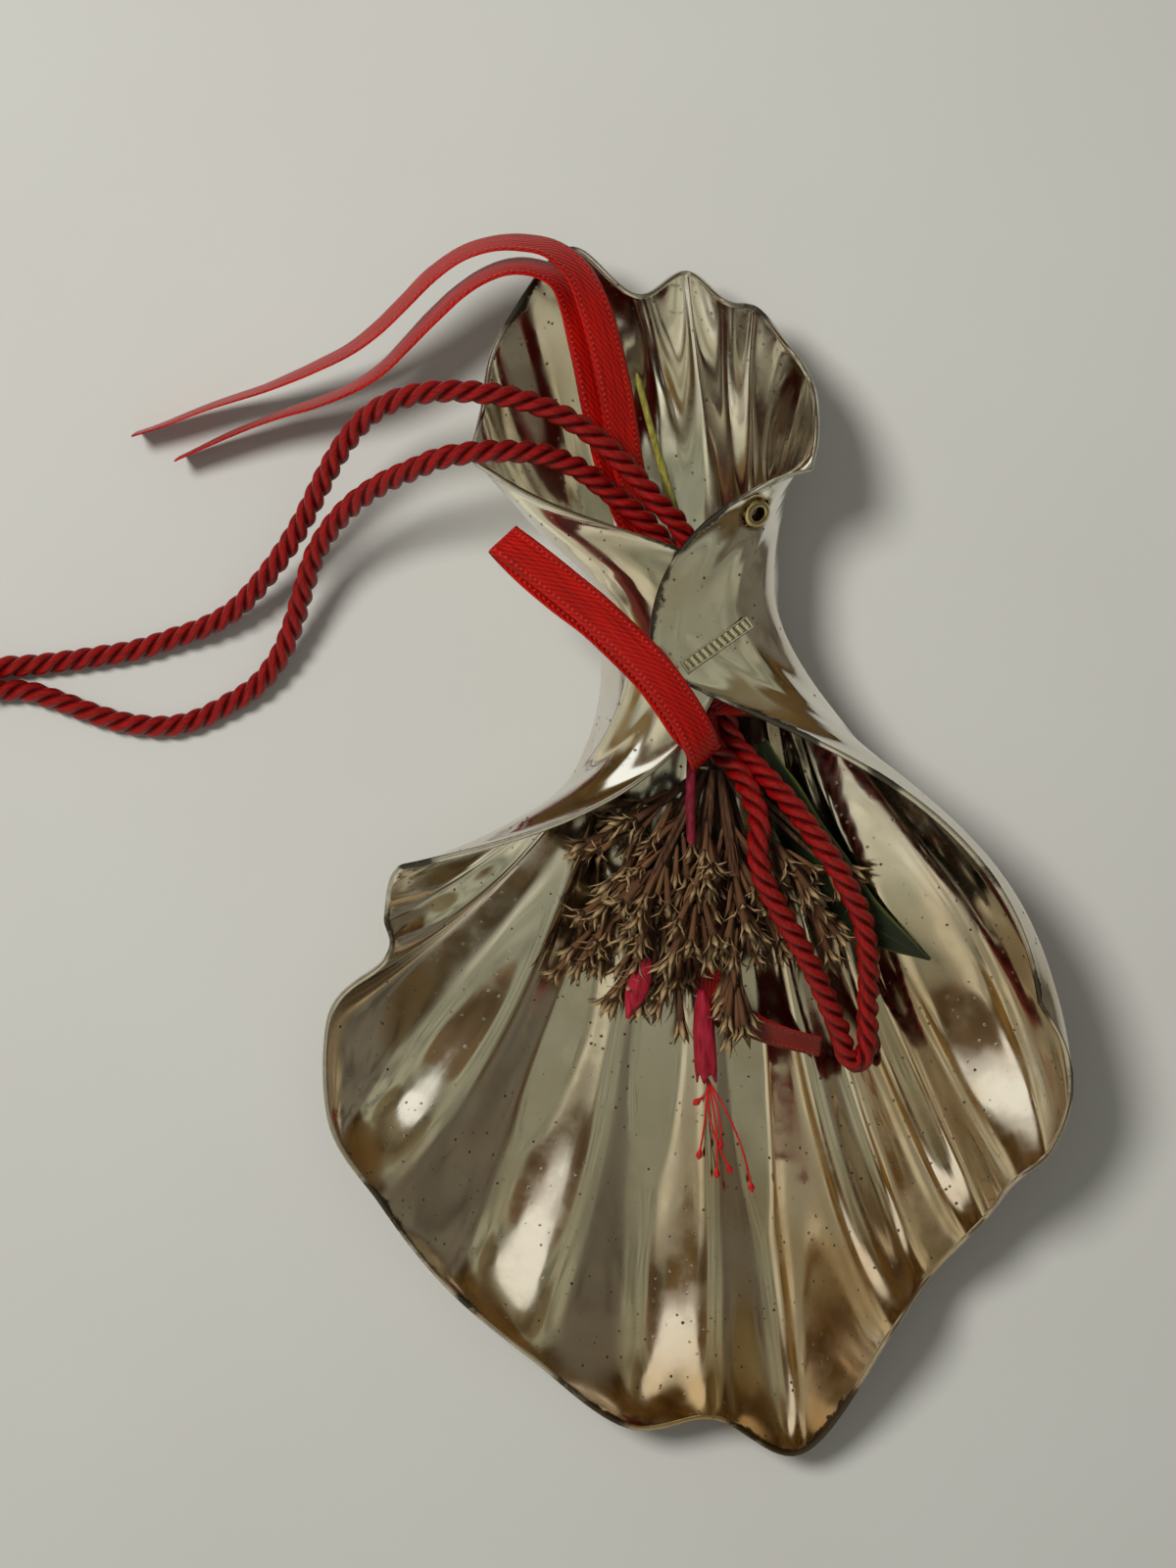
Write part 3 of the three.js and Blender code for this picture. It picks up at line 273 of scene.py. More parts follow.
def along_rows(rows: list[tuple], shares: Array) -> Array:
    """Read smooth curves through rows of (share, value, value, ...).

    Args:
        rows: Rows in rising order of their first number.
        shares: Where to read them.

    Returns:
        One line of values for each share.
    """
    table = np.array(rows, float)
    knots, values = table[:, 0], table[:, 1:]
    gaps = np.diff(knots)
    slopes = np.diff(values, axis=0) / gaps[:, None]
    ways = np.empty_like(values)
    before, after = gaps[:-1, None], gaps[1:, None]
    ways[1:-1] = (slopes[:-1] * after + slopes[1:] * before) / (before + after)
    ways[0], ways[-1] = slopes[0], slopes[-1]
    shares = np.clip(np.asarray(shares, float), knots[0], knots[-1])
    i = np.clip(np.searchsorted(knots, shares, side="right") - 1, 0, len(knots) - 2)
    t = ((shares - knots[i]) / gaps[i])[:, None]
    span = gaps[i][:, None]
    rise = 2 * t**3 - 3 * t**2 + 1
    leave = (t**3 - 2 * t**2 + t) * span
    arrive = (t**3 - t**2) * span
    return rise * values[i] + leave * ways[i] + (1 - rise) * values[i + 1] + arrive * ways[i + 1]


def along_lobes(
    rows: list[tuple], ridges: tuple[float, ...], shares: Array, round_off: float, height: float
) -> Array:
    """Read rows so that the broad lobes run smoothly and the ridges between them stand up narrow.

    Args:
        rows: Rows in rising order of their first number.
        ridges: The shares of the rows that are ridges.
        shares: Where to read them, in rising order.
        round_off: How far each ridge's crease is rounded, as a share.
        height: How much of each ridge's height to keep.

    Returns:
        One line of values for each share.
    """
    lobes = [row for row in rows if row[0] not in ridges]
    fine = np.linspace(0, 1, 2001)
    values = along_rows(lobes, fine)
    for row in rows:
        if row[0] in ridges:
            rise = np.array(row[1:], float) - along_rows(lobes, np.array([row[0]]))[0]
            below = max(r[0] for r in lobes if r[0] < row[0])
            above = min(r[0] for r in lobes if r[0] > row[0])
            reach = np.where(fine < row[0], row[0] - below, above - row[0])
            hump = np.clip(1 - np.abs(fine - row[0]) / reach, 0, 1) ** 1.5
            values = values + height * hump[:, None] * rise
    width = int(3 * round_off * 2000)
    kernel = np.exp(-0.5 * (np.arange(-width, width + 1) / (round_off * 2000)) ** 2)
    padded = np.pad(values, ((width, width), (0, 0)), mode="edge")
    soft = np.stack([np.convolve(c, kernel / kernel.sum(), "valid") for c in padded.T], -1)
    near_end = np.clip(np.minimum(fine, 1 - fine) / (3 * round_off), 0, 1)[:, None]
    soft = soft * near_end + values * (1 - near_end)
    return np.stack([np.interp(shares, fine, c) for c in soft.T], -1)


def smooth_route(points: list[tuple], steps: int) -> Array:
    """A smooth curve through given points, the one that the CAD part follows.

    Args:
        points: The route's points in millimetres.
        steps: How many equal shares of the route to cut it in.

    Returns:
        steps + 1 points.
    """
    p = np.array(points, float)
    p = np.vstack([2 * p[0] - p[1], p, 2 * p[-1] - p[-2]])
    place = np.linspace(0, len(points) - 1, steps + 1)
    i = np.clip(place.astype(int), 0, len(points) - 2)
    t = (place - i)[:, None]
    a, b, c, d = p[i], p[i + 1], p[i + 2], p[i + 3]
    ab = np.linalg.norm(b - a, axis=1, keepdims=True) ** 0.5
    bc = np.linalg.norm(c - b, axis=1, keepdims=True) ** 0.5
    cd = np.linalg.norm(d - c, axis=1, keepdims=True) ** 0.5
    leave = ((b - a) / ab - (c - a) / (ab + bc) + (c - b) / bc) * bc
    arrive = ((c - b) / bc - (d - b) / (bc + cd) + (d - c) / cd) * bc
    square = -3 * b + 3 * c - 2 * leave - arrive
    cube = 2 * b - 2 * c + leave + arrive
    return b + leave * t + square * t**2 + cube * t**3


def unit(arrows: Array) -> Array:
    """The same arrows with a length of one."""
    return arrows / np.maximum(np.linalg.norm(arrows, axis=-1, keepdims=True), 1e-9)


def squared(arrows: Array, lines: Array) -> Array:
    """The arrows' parts square to these lines' directions, with a length of one."""
    return unit(arrows - (arrows * lines).sum(1, keepdims=True) * lines)


def run_length(line: Array) -> Array:
    """How far along a line of points each of them lies."""
    return np.concatenate([[0.0], np.cumsum(np.linalg.norm(np.diff(line, axis=0), axis=1))])


def ripple(places: Array, seed: float) -> Array:
    """Smooth noise between about -1 and 1.

    Args:
        places: Points, already divided by the wavelength.
        seed: Moves the pattern.

    Returns:
        One value for each point.
    """
    shift = Vector((seed, 1.7 * seed, -0.6 * seed))
    return np.array(
        [noise.noise(Vector(p) + shift) for p in places.reshape(-1, 3)]
    ).reshape(places.shape[:-1])


def make_mesh(name: str, points: Array, faces: list, metres: bool = False) -> Piece:
    """Make a smooth-shaded object from points and faces.

    Args:
        name: The piece's name.
        points: Points in the sheet's own frame, in millimetres.
        faces: Lists of point numbers.
        metres: True where the points are already metres in the part's frame.

    Returns:
        The new object, linked to the scene.
    """
    mesh = bpy.data.meshes.new(name)
    places = np.asarray(points, float) if metres else to_metres(points)
    mesh.from_pydata(places.tolist(), [], [list(map(int, f)) for f in faces])
    mesh.validate()
    mesh.polygons.foreach_set("use_smooth", [True] * len(mesh.polygons))
    return new_piece(name, mesh)


def point_outwards(piece: Piece) -> None:
    """Turn a closed piece's faces so that they all point outwards.

    Args:
        piece: The piece.
    """
    work = bmesh.new()
    work.from_mesh(piece.data)
    bmesh.ops.recalc_face_normals(work, faces=work.faces)
    work.to_mesh(piece.data)
    work.free()


def new_piece(name: str, data: bpy.types.ID) -> Piece:
    """Make an object of a mesh, lamp or camera and put it in the scene.

    Args:
        name: The piece's name.
        data: The mesh, lamp or camera.

    Returns:
        The new object.
    """
    piece = bpy.data.objects.new(name, data)
    bpy.context.scene.collection.objects.link(piece)
    return piece


def take_place(piece: Piece, node: str, slot: str, *looks: Look) -> None:
    """Let a piece ride on the part's one body in a solid's place, and report it.

    Args:
        piece: The visual piece.
        node: The solid that it replaces.
        slot: The colour slot; not used.
        *looks: Its materials, where it has none yet.
    """
    for look in looks:
        piece.data.materials.append(look)
    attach(piece, BODY)
    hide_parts(node)
    log.info("%s: %d faces", piece.name, len(piece.data.polygons))


def store(piece: Piece, name: str, values: Array) -> None:
    """Keep a number or an arrow for each point of a mesh, for its material to read.

    Args:
        piece: The piece.
        name: The field's name.
        values: One number or one arrow for each point.
    """
    form, field_name = ("FLOAT_VECTOR", "vector") if values.ndim > 1 else ("FLOAT", "value")
    layer = piece.data.attributes.new(name, form, "POINT")
    layer.data.foreach_set(field_name, np.asarray(values, float).ravel())


def store_uv(piece: Piece, places: Array) -> None:
    """Give a mesh a UV map from one (u, v) for each point.

    Args:
        piece: The piece.
        places: One (u, v) for each point.
    """
    mesh = piece.data
    corners = np.empty(len(mesh.loops), int)
    mesh.loops.foreach_get("vertex_index", corners)
    layer = mesh.uv_layers.new(name="UVMap")
    layer.data.foreach_set("uv", np.asarray(places, float)[corners].ravel())


def store_strip_uv(piece: Piece, along: Array, across: Array) -> None:
    """Give both sides of a strip of rows along and columns across one UV map, across first.

    Args:
        piece: The piece.
        along: The rows' places.
        across: The columns' places.
    """
    lie = np.stack(np.meshgrid(along, across, indexing="ij")[::-1], -1).reshape(-1, 2)
    store_uv(piece, np.concatenate([lie, lie]))


def ring_faces(rings: int, sides: int, start: int = 0) -> list[tuple[int, ...]]:
    """Faces between closed rings of points that follow each other.

    Args:
        rings: How many rings there are.
        sides: How many points each of them has.
        start: The number of the first point.

    Returns:
        Quads as point numbers.
    """
    quads = []
    for a in range(start, start + (rings - 1) * sides, sides):
        for k, n in ((k, (k + 1) % sides) for k in range(sides)):
            quads.append((a + k, a + n, a + sides + n, a + sides + k))
    return quads


def grid_faces(rows: int, columns: int) -> list[tuple[int, ...]]:
    """Faces over an open grid of points, row by row."""
    corners = [i * columns + j for i in range(rows - 1) for j in range(columns - 1)]
    return [(a, a + columns, a + columns + 1, a + 1) for a in corners]


def other_side(faces: list[tuple[int, ...]], count: int) -> list[tuple[int, ...]]:
    """The same faces turned round, on points numbered on by this count."""
    return [tuple(count + q for q in face[::-1]) for face in faces]


def border(rows: int, columns: int) -> Array:
    """The numbers of the points round a grid's border, in order."""
    grid = np.arange(rows * columns).reshape(rows, columns)
    return np.concatenate([grid[:, 0], grid[-1, 1:], grid[-2::-1, -1], grid[0, -2:0:-1]])


def make_wall(name: str, front: Array, back: Array) -> Piece:
    """Join two grids of points into one closed, thin piece.

    Args:
        name: The piece's name.
        front: Grid of points, rows by columns, in millimetres.
        back: The other side's grid.

    Returns:
        The new object.
    """
    rows, columns = front.shape[:2]
    faces = grid_faces(rows, columns)
    faces += other_side(faces, rows * columns)
    rim = border(rows, columns)
    both = np.concatenate([rim, rim + rows * columns])
    faces += [tuple(both[q] for q in quad) for quad in ring_faces(2, len(rim))]
    piece = make_mesh(name, np.concatenate([front.reshape(-1, 3), back.reshape(-1, 3)]), faces)
    point_outwards(piece)
    return piece


def skin_lines(name: str, lines: list[Array], radii: list[Array]) -> Piece:
    """Make an object of loose edges, one chain for each line, with a radius at each point.

    Args:
        name: The piece's name.
        lines: Chains of points in millimetres.
        radii: The radius at each point, in millimetres.

    Returns:
        The object, ready for a tree that turns chains to tubes.
    """
    edges, start = [], 0
    for line in lines:
        edges += [(start + k, start + k + 1) for k in range(len(line) - 1)]
        start += len(line)
    mesh = bpy.data.meshes.new(name)
    mesh.from_pydata(to_metres(np.concatenate(lines)).tolist(), edges, [])
    piece = new_piece(name, mesh)
    store(piece, "radius_m", np.concatenate(radii) * MM)
    return piece


def merge(piece: Piece, other: Piece) -> int:
    """Put another piece's mesh in this one's, above the table, and remove the other piece.

    Args:
        piece: The piece that stays.
        other: The piece that goes.

    Returns:
        How many faces the piece had of its own.
    """
    own = len(piece.data.polygons)
    work = bmesh.new()
    work.from_mesh(piece.data)
    work.from_mesh(other.data)
    for point in work.verts:
        point.co.z = max(point.co.z, 0.0)
    work.to_mesh(piece.data)
    work.free()
    bpy.data.objects.remove(other)
    return own


def grow(piece: Piece, tree: Tree, inputs: dict[str, object]) -> Piece:
    """Run a geometry tree on an object once and keep the result as a plain mesh.

    Args:
        piece: The object that the tree starts from. It keeps its name and gets the new mesh.
        tree: The geometry tree.
        inputs: Values for the tree's named inputs.

    Returns:
        The same object with a plain mesh and no modifier.
    """
    runner = piece.modifiers.new("grow", "NODES")
    runner.node_group = tree
    for socket in tree.interface.items_tree:
        if socket.in_out == "INPUT" and socket.name in inputs:
            runner[socket.identifier] = inputs[socket.name]
    piece.update_tag()
    graph = bpy.context.evaluated_depsgraph_get()
    mesh = bpy.data.meshes.new_from_object(piece.evaluated_get(graph))
    piece.modifiers.remove(runner)
    piece.data = mesh
    mesh.name = piece.name
    return piece


def new_tree(name: str, inputs: dict[str, str]) -> tuple[Tree, Callable, Sequence]:
    """Start a geometry tree with a shape in, a shape out and named inputs.

    Args:
        name: The tree's name.
        inputs: Each input's name, to its socket type without the word NodeSocket.

    Returns:
        The tree, the function that adds a node to it, and its inputs' sockets.
    """
    tree = bpy.data.node_groups.new(name, "GeometryNodeTree")
    add = partial(add_node, tree)
    for label, kind in {"Shape": "Geometry", **inputs, "Finish": "Material"}.items():
        tree.interface.new_socket(name=label, in_out="INPUT", socket_type=f"NodeSocket{kind}")
    tree.interface.new_socket(name="Shape", in_out="OUTPUT", socket_type="NodeSocketGeometry")
    return tree, add, add("NodeGroupInput").node.outputs


def close_tree(add: Callable, shape: Socket, finish: Socket) -> None:
    """End a geometry tree: instances made real, material set, shape out."""
    real = add("GeometryNodeRealizeInstances", shape)
    add("NodeGroupOutput", add("GeometryNodeSetMaterial", {"Geometry": real, "Material": finish}))


# ---------------------------------------------------------------- geometry trees


class Trees:
    """The geometry trees that make what repeats or follows a path."""

    def __init__(self) -> None:
        """Build each tree once."""
        self.cord = self._cord()
        self.tubes = self._tubes()
        self.florets = self._florets()

    @staticmethod
    def _cord() -> Tree:
        """Three plies laid together along a chain of edges.

        Returns:
            The tree. It leaves the fields ply (0 in the groove, 1 on the crest) and fibre (millimetres
            round and along the cord) on the mesh.
        """
        tree, add, given = new_tree(
            "laid_cord",
            {
                "Radius": "Float", "Lay Length": "Float", "Step": "Float", "Groove Share": "Float",
                "Sides": "Int"
            }
        )
        path = add("GeometryNodeMeshToCurve", {"Mesh": given["Shape"]})
        cut = add("GeometryNodeResampleCurve", {"Curve": path, "Length": given["Step"]}, mode="LENGTH")
        run = add(Kind("GeometryNodeSplineParameter", output="Length"))
        lay = add(TIMES, add(OVER, run, given["Lay Length"]), -math.tau)
        twisted = add("GeometryNodeSetCurveTilt", {"Curve": cut, "Tilt": lay})
        spine = add(STORE, twisted, "run_m", run)
        ring = add("GeometryNodeCurvePrimitiveCircle", {"Resolution": given["Sides"], "Radius": 1.0})
        number = add("GeometryNodeInputIndex")
        around = add(TIMES, add(OVER, number, given["Sides"]), math.tau)
        hump = add(ABSOLUTE, add(COSINE, add(TIMES, around, PLIES / 2)))
        ply = add(POWER, hump, 0.62)
        size = add(TIMES, add(RANGE, ply, 0, 1, given["Groove Share"], 1.0), given["Radius"])
        here = add("GeometryNodeInputPosition")
        lobes = add("GeometryNodeSetPosition", {"Geometry": ring, "Position": add(SCALE, here, size)})
        with_ply = add(STORE, lobes, "ply", ply)
        with_angle = add(STORE, with_ply, "around", around)
        skin = add(
            "GeometryNodeCurveToMesh", {"Curve": spine, "Profile Curve": with_angle, "Fill Caps": True}
        )
        kept_run = add(READ, "run_m")
        kept_angle = add(READ, "around")
        true_angle = add(TIMES_PLUS, add(OVER, kept_run, given["Lay Length"]), -math.tau, kept_angle)
        across = add(COSINE, true_angle)
        upward = add(SINE, true_angle)
        spot = add("ShaderNodeCombineXYZ", across, upward, add(OVER, kept_run, given["Radius"]))
        in_mm = add(SCALE, add(SCALE, spot, given["Radius"]), 1 / MM)
        with_fibre = add(STORE, skin, "fibre", in_mm, data_type="FLOAT_VECTOR")
        smooth = add("GeometryNodeSetShadeSmooth", {"Geometry": with_fibre})
        close_tree(add, smooth, given["Finish"])
        return tree

    @staticmethod
    def _tubes() -> Tree:
        """Turn chains of edges to round tubes of the radius that each point carries.

        Returns:
            The tree.
        """
        tree, add, given = new_tree("stems", {"Sides": "Int"})
        path = add("GeometryNodeMeshToCurve", {"Mesh": given["Shape"]})
        width = add(READ, "radius_m")
        ring = add("GeometryNodeCurvePrimitiveCircle", {"Resolution": given["Sides"], "Radius": 1.0})
        skin = add(
            "GeometryNodeCurveToMesh",
            {"Curve": path, "Profile Curve": ring, "Scale": width, "Fill Caps": True}
        )
        smooth = add("GeometryNodeSetShadeSmooth", {"Geometry": skin})
        close_tree(add, smooth, given["Finish"])
        return tree

    @staticmethod
    def _florets() -> Tree:
        """Set one of several florets on each point, turned along the arrow that the point carries.

        Returns:
            The tree. It leaves one number, tone, on each floret.
        """
        tree, add, given = new_tree(
            "florets_on_stem",
            {"Florets": "Collection", "Seed": "Int", "Smallest": "Float", "Largest": "Float"}
        )
        points = add("GeometryNodeMeshToPoints", {"Mesh": given["Shape"]})
        kinds = add(
            "GeometryNodeCollectionInfo",
            {"Collection": given["Florets"], "Separate Children": True, "Reset Children": True}
        )
        which = add(READ, "kind")
        way = add(READ, "way", data_type="FLOAT_VECTOR")
        aimed = add("FunctionNodeAlignRotationToVector", {"Vector": way}, axis="Z")
        spin = add(
            "FunctionNodeRandomValue",
            {"Min": (0.0, 0.0, 0.0), "Max": (0.0, 0.0, math.tau), "Seed": given["Seed"]},
            data_type="FLOAT_VECTOR"
        )
        turn = add("FunctionNodeEulerToRotation", spin)
        facing = add("FunctionNodeRotateRotation", aimed, turn, rotation_space="LOCAL")
        size = add(RANDOM, given["Smallest"], given["Largest"], given["Seed"])
        planted = add(
            "GeometryNodeInstanceOnPoints",
            {
                "Points": points, "Instance": kinds, "Pick Instance": True, "Instance Index": which,
                "Rotation": facing, "Scale": size
            }
        )
        tone = add(RANDOM, 0.0, 1.0, given["Seed"])
        toned = add(STORE, planted, "tone", tone, domain="INSTANCE")
        close_tree(add, toned, given["Finish"])
        return tree


# ---------------------------------------------------------------- finishes


def start_material(name: str) -> tuple[Look, Callable]:
    """Start a material without nodes.

    Args:
        name: What the real material is.

    Returns:
        The material and the function that adds a node to it.
    """
    material = bpy.data.materials.new(name)
    material.use_nodes = True
    material.node_tree.nodes.clear()
    return material, partial(add_node, material.node_tree)


METAL = {"Metallic": 1.0}
SHEEN = {"Sheen Weight": 0.02, "Sheen Roughness": 0.3}


def end_material(
    material: Look, colour: Socket, rough: Socket | float, bump: Socket, more: dict | None = None
) -> Look:
    """Give a material its main shader.

    Args:
        material: The material.
        colour: Its base colour.
        rough: Its roughness.
        bump: Its bumped normal.
        more: The shader's other inputs by name.

    Returns:
        The same material.
    """
    values = {"Base Color": colour, "Roughness": rough, "Normal": bump, **(more or {})}
    shader = add_node(material.node_tree, "ShaderNodeBsdfPrincipled", values)
    add_node(material.node_tree, "ShaderNodeOutputMaterial", shader)
    return material


def per_mm(size: float) -> float:
    """The scale of a pattern on Object coordinates whose features are this many millimetres wide."""
    return 1 / (size * MM)


@dataclass(frozen=True)
class SilverPlate:
    """Silver plate on pressed brass, polished by hand and old.

    The eye gets a warm mirror with soft patches: paler where it is polished, yellow where the plate is
    thin, and brown-black sulphide with pits along the rims.
    """

    silver: str = "#E8E6DE"
    thin: str = "#B08E58"
    sulphide: str = "#261E17"
    halo: str = "#8C6E2C"
    polish: float = 0.09
    haze: float = 0.2
    rim_mm: float = 0.2
    patch_mm: float = 26.0
    scratch_mm: float = 0.55
    # Real pits are 0.1 mm wide; they are drawn about 0.65 mm wide so that they show
    pit_share: float = 0.85 / 6

    def make(self) -> Look:
        """Build the material. It reads edge_mm, halo_mm and the UV map from the sheet.

        Returns:
            The material.
        """
        material, add = start_material("worn_silver_plate")
        place = add(PLACE)
        along = add(FLOW)
        edge = add(FIELD, attribute_name="edge_mm")
        ring = add(FIELD, attribute_name="halo_mm")
        patches = add(NOISE, place, per_mm(self.patch_mm), 4.0)
        lower_right = add(RANGE, add(DOT, place, (0.25, -0.95, 0.0)), -0.02, 0.085, 0, 0.55)
        worn = add(PLUS, add(RANGE, patches, 0.46, 0.7, 0, 0.35), lower_right)
        base = add(MIX, worn, self.silver, self.thin)
        haloed = add(MIX, add(EASE, ring, 2.2, 4.0, 0.75, 0.0), base, self.halo)
        ragged = add(NOISE, place, per_mm(2.2), 6.0, 0.7)
        wander = add(NOISE, place, per_mm(16.0), 2.0)
        reach = add(RANGE, wander, 0.5, 0.74, 0.4 * self.rim_mm, 9.0 * self.rim_mm)
        inside = add(MINUS, add(TIMES, reach, add(RANGE, ragged, 0.3, 0.7, 0.05, 1.5)), edge)
        dark_rim = add(EASE, inside, -0.15, 0.45, 0, 0.88)
        pits = add("ShaderNodeTexVoronoi", {"Vector": place, "Scale": per_mm(1.7)})
        pit_core = add(RANGE, pits, 0.05, 0.05 + self.pit_share, 1.0, 0.0)
        dark = add(MAXIMUM, dark_rim, add(TIMES, pit_core, add(RANGE, ragged, 0.47, 0.55)))
        colour = add(MIX, dark, haloed, self.sulphide)
        cloud = add(NOISE, place, per_mm(9.0), 5.0, 0.6)
        dull = add(RANGE, cloud, 0.42, 0.72, self.polish, self.polish + self.haze)
        roughness = add(BLEND, dark, dull, 0.55)
        scratches = add(NOISE, add(STRETCH, along, (1 / self.scratch_mm, 0.05, 1.0)), 1.0, 3.0, 0.65)
        bump = add(BUMP, add(TIMES_PLUS, scratches, 0.1, dark), 0.35, 0.05 * MM)
        return end_material(material, colour, roughness, bump, METAL)


@dataclass(frozen=True)
class NickelledBrass:
    """Nickelled brass of a set rivet: a duller, yellower metal than the sheet, with painted shade and some
    grime darkening its bore.
    """

    metal: str = "#C8B888"
    # Painted shade of the rivet's bore, mixed with grime
    bore_shade_and_grime: str = "#2E2618"
    rough: float = 0.24

    def make(self) -> Look:
        """Build the material. It reads crest, which is 0 in the bore and 1 on the flange.

        Returns:
            The material.
        """
        material, add = start_material("nickelled_brass")
        place = add(PLACE)
        crest = add(FIELD, attribute_name="crest")
        grime = add(NOISE, place, per_mm(0.8), 4.0)
        # Dark where crest is 0: painted shade in the bore, with noise patches of grime on the flange
        out_of_hollow = add(RANGE, add(TIMES, grime, crest), 0.1, 0.32)
        colour = add(MIX, out_of_hollow, self.bore_shade_and_grime, self.metal)
        rough = add(RANGE, out_of_hollow, 0, 1, 0.6, self.rough)
        bump = add(BUMP, grime, 0.3, 0.05 * MM)
        return end_material(material, colour, rough, bump, METAL)


@dataclass(frozen=True)
class CastSilver:
    """Cast and struck silver of the small bar: bright crests with sulphide left in the hollows."""

    bright: str = "#EAE6D8"
    hollow: str = "#A89F80"
    rough: float = 0.2

    def make(self) -> Look:
        """Build the material. It reads crest, which is 0 in the hollows and 1 on the ribs.

        Returns:
            The material.
        """
        material, add = start_material("cast_silver")
        place = add(PLACE)
        crest = add(FIELD, attribute_name="crest")
        grain = add(NOISE, place, per_mm(0.6), 4.0)
        out_of_hollow = add(RANGE, add(TIMES_PLUS, grain, 0.5, crest), 0.35, 1.1)
        colour = add(MIX, out_of_hollow, self.hollow, self.bright)
        bump = add(BUMP, grain, 0.5, 0.08 * MM)
        return end_material(material, colour, self.rough, bump, METAL)


@dataclass(frozen=True)
class RayonCord:
    """Laid rayon cord: three glossy plies of fine filaments, deep red, with painted shade near black in the
    grooves.
    """

    crest: str = "#960C0C"
    body: str = "#6A0808"
    # Painted shade for the grooves between the plies
    groove: str = "#1C0203"
    glow: str = "#E04038"
    # Real filaments are hair fine; they are drawn at 0.3 mm so that they show
    filament_mm: float = 0.3

    def make(self) -> Look:
        """Build the material. It reads ply and fibre, which the cord's tree leaves on the mesh.

        Returns:
            The material.
        """
        material, add = start_material("rayon_cord")
        fibre = add(Kind("ShaderNodeAttribute", output="Vector"), attribute_name="fibre")
        ply = add(FIELD, attribute_name="ply")
        fine = 1 / self.filament_mm
        filaments = add(NOISE, add(STRETCH, fibre, (fine, fine, 0.12 * fine)), 1.0, 3.0, 0.6)
        groove_shade_mix = add(RANGE, ply, 0.15, 0.75)
        lit = add(MIX, add(RANGE, filaments, 0.35, 0.65), self.body, self.crest)
        # The grooves take the painted shade colour
        colour = add(MIX, groove_shade_mix, self.groove, lit)
        bump = add(BUMP, filaments, 0.8, 0.12 * MM)
        return end_material(
            material, colour, 0.34, bump, {**SHEEN, "Specular IOR Level": 0.4, "Sheen Tint": self.glow}
        )


@dataclass(frozen=True)
class SatinRibbonFinish:
    """Woven polyester satin: bright red with a lengthwise gloss, twill lines and a woven selvedge."""

    face: str = "#C0120A"
    shade: str = "#7E0805"
    glow: str = "#FF6450"
    stitch_light: str = "#D8402E"
    selvedge_mm: float = 2.15
    # Real edge stitches are 0.3 mm apart; they are drawn at 0.9 mm so that they show
    stitch_mm: float = 0.9
    # Real satin has 0.1 mm threads; they are drawn at 0.75 mm so that they show
    thread_mm: float = 0.75

    def make(self) -> Look:
        """Build the material. Its UV map is in millimetres, across and along the ribbon.

        Returns:
            The material.
        """
        material, add = start_material("polyester_satin")
        lie = add(FLOW)
        parts = add(SPLIT, lie).node.outputs
        twill = add(SINE, add(TIMES, add(DOT, lie, (1.0, 0.55, 0.0)), math.tau / self.thread_mm))
        off = add(ABSOLUTE, add(MINUS, add(ABSOLUTE, parts[0]), self.selvedge_mm))
        line = add(EASE, off, 0.1, 0.28, 1.0, 0.0)
        up = add(RANGE, add(SINE, add(TIMES, parts[1], math.tau / self.stitch_mm)), -0.2, 0.7)
        stitches = add(TIMES, line, up)
        streaks = add(NOISE, add(STRETCH, lie, (2.2, 0.1, 1.0)), 1.0, 4.0)
        tone = add(RANGE, add(TIMES_PLUS, twill, 0.13, streaks), 0.3, 0.7)
        cloth = add(MIX, tone, self.shade, self.face)
        colour = add(MIX, add(TIMES, line, 0.45), cloth, self.shade)
        colour = add(MIX, add(TIMES, stitches, 0.55), colour, self.stitch_light)
        bump = add(BUMP, add(TIMES_PLUS, twill, 0.25, stitches), 0.8, 0.1 * MM)
        return end_material(
            material, colour, 0.36, bump, {**SHEEN, "Specular IOR Level": 0.35, "Sheen Tint": self.glow}
        )


@dataclass(frozen=True)
class DriedFloret:
    """Air-dried floret: a brown to purple-brown papery tube whose five points have bleached."""

    tube: str = "#755236"
    plum: str = "#563826"
    straw: str = "#B0946A"

    def make(self) -> Look:
        """Build the material. It reads tipness along the floret and one tone for each floret.

        Returns:
            The material.
        """
        material, add = start_material("dried_floret")
        place = add(PLACE)
        tip = add(FIELD, attribute_name="tipness")
        tone = add(FIELD, attribute_name="tone")
        blotch = add(NOISE, place, per_mm(1.1), 5.0)
        tube = add(MIX, tone, self.tube, self.plum)
        bleached = add(EASE, add(TIMES_PLUS, blotch, 0.35, tip), 0.55, 0.95)
        colour = add(MIX, add(TIMES, bleached, add(RANGE, tone, 0, 1, 0.55, 1.0)), tube, self.straw)
        bump = add(BUMP, blotch, 0.6, 0.15 * MM)
        return end_material(material, colour, 0.82, bump)


@dataclass(frozen=True)
class PlantSkin:
    """Skin of a stem, leaf or petal: one colour that drifts to a second, with streaks along it."""

    name: str
    skin: str
    second: str
    rough: float
    streak_mm: float = 0.5
    gloss: float = 0.4

    def make(self) -> Look:
        """Build the material on Object coordinates, so that it fits any plant piece.

        Returns:
            The material.
        """
        material, add = start_material(self.name)
        place = add(PLACE)
        pulled = add(
            STRETCH, place, (per_mm(self.streak_mm), 0.14 * per_mm(self.streak_mm), per_mm(self.streak_mm))
        )
        streaks = add(NOISE, pulled, 1.0, 4.0, 0.6)
        colour = add(MIX, add(RANGE, streaks, 0.36, 0.68), self.skin, self.second)
        bump = add(BUMP, streaks, 0.5, 0.1 * MM)
        return end_material(material, colour, self.rough, bump, {"Specular IOR Level": self.gloss})


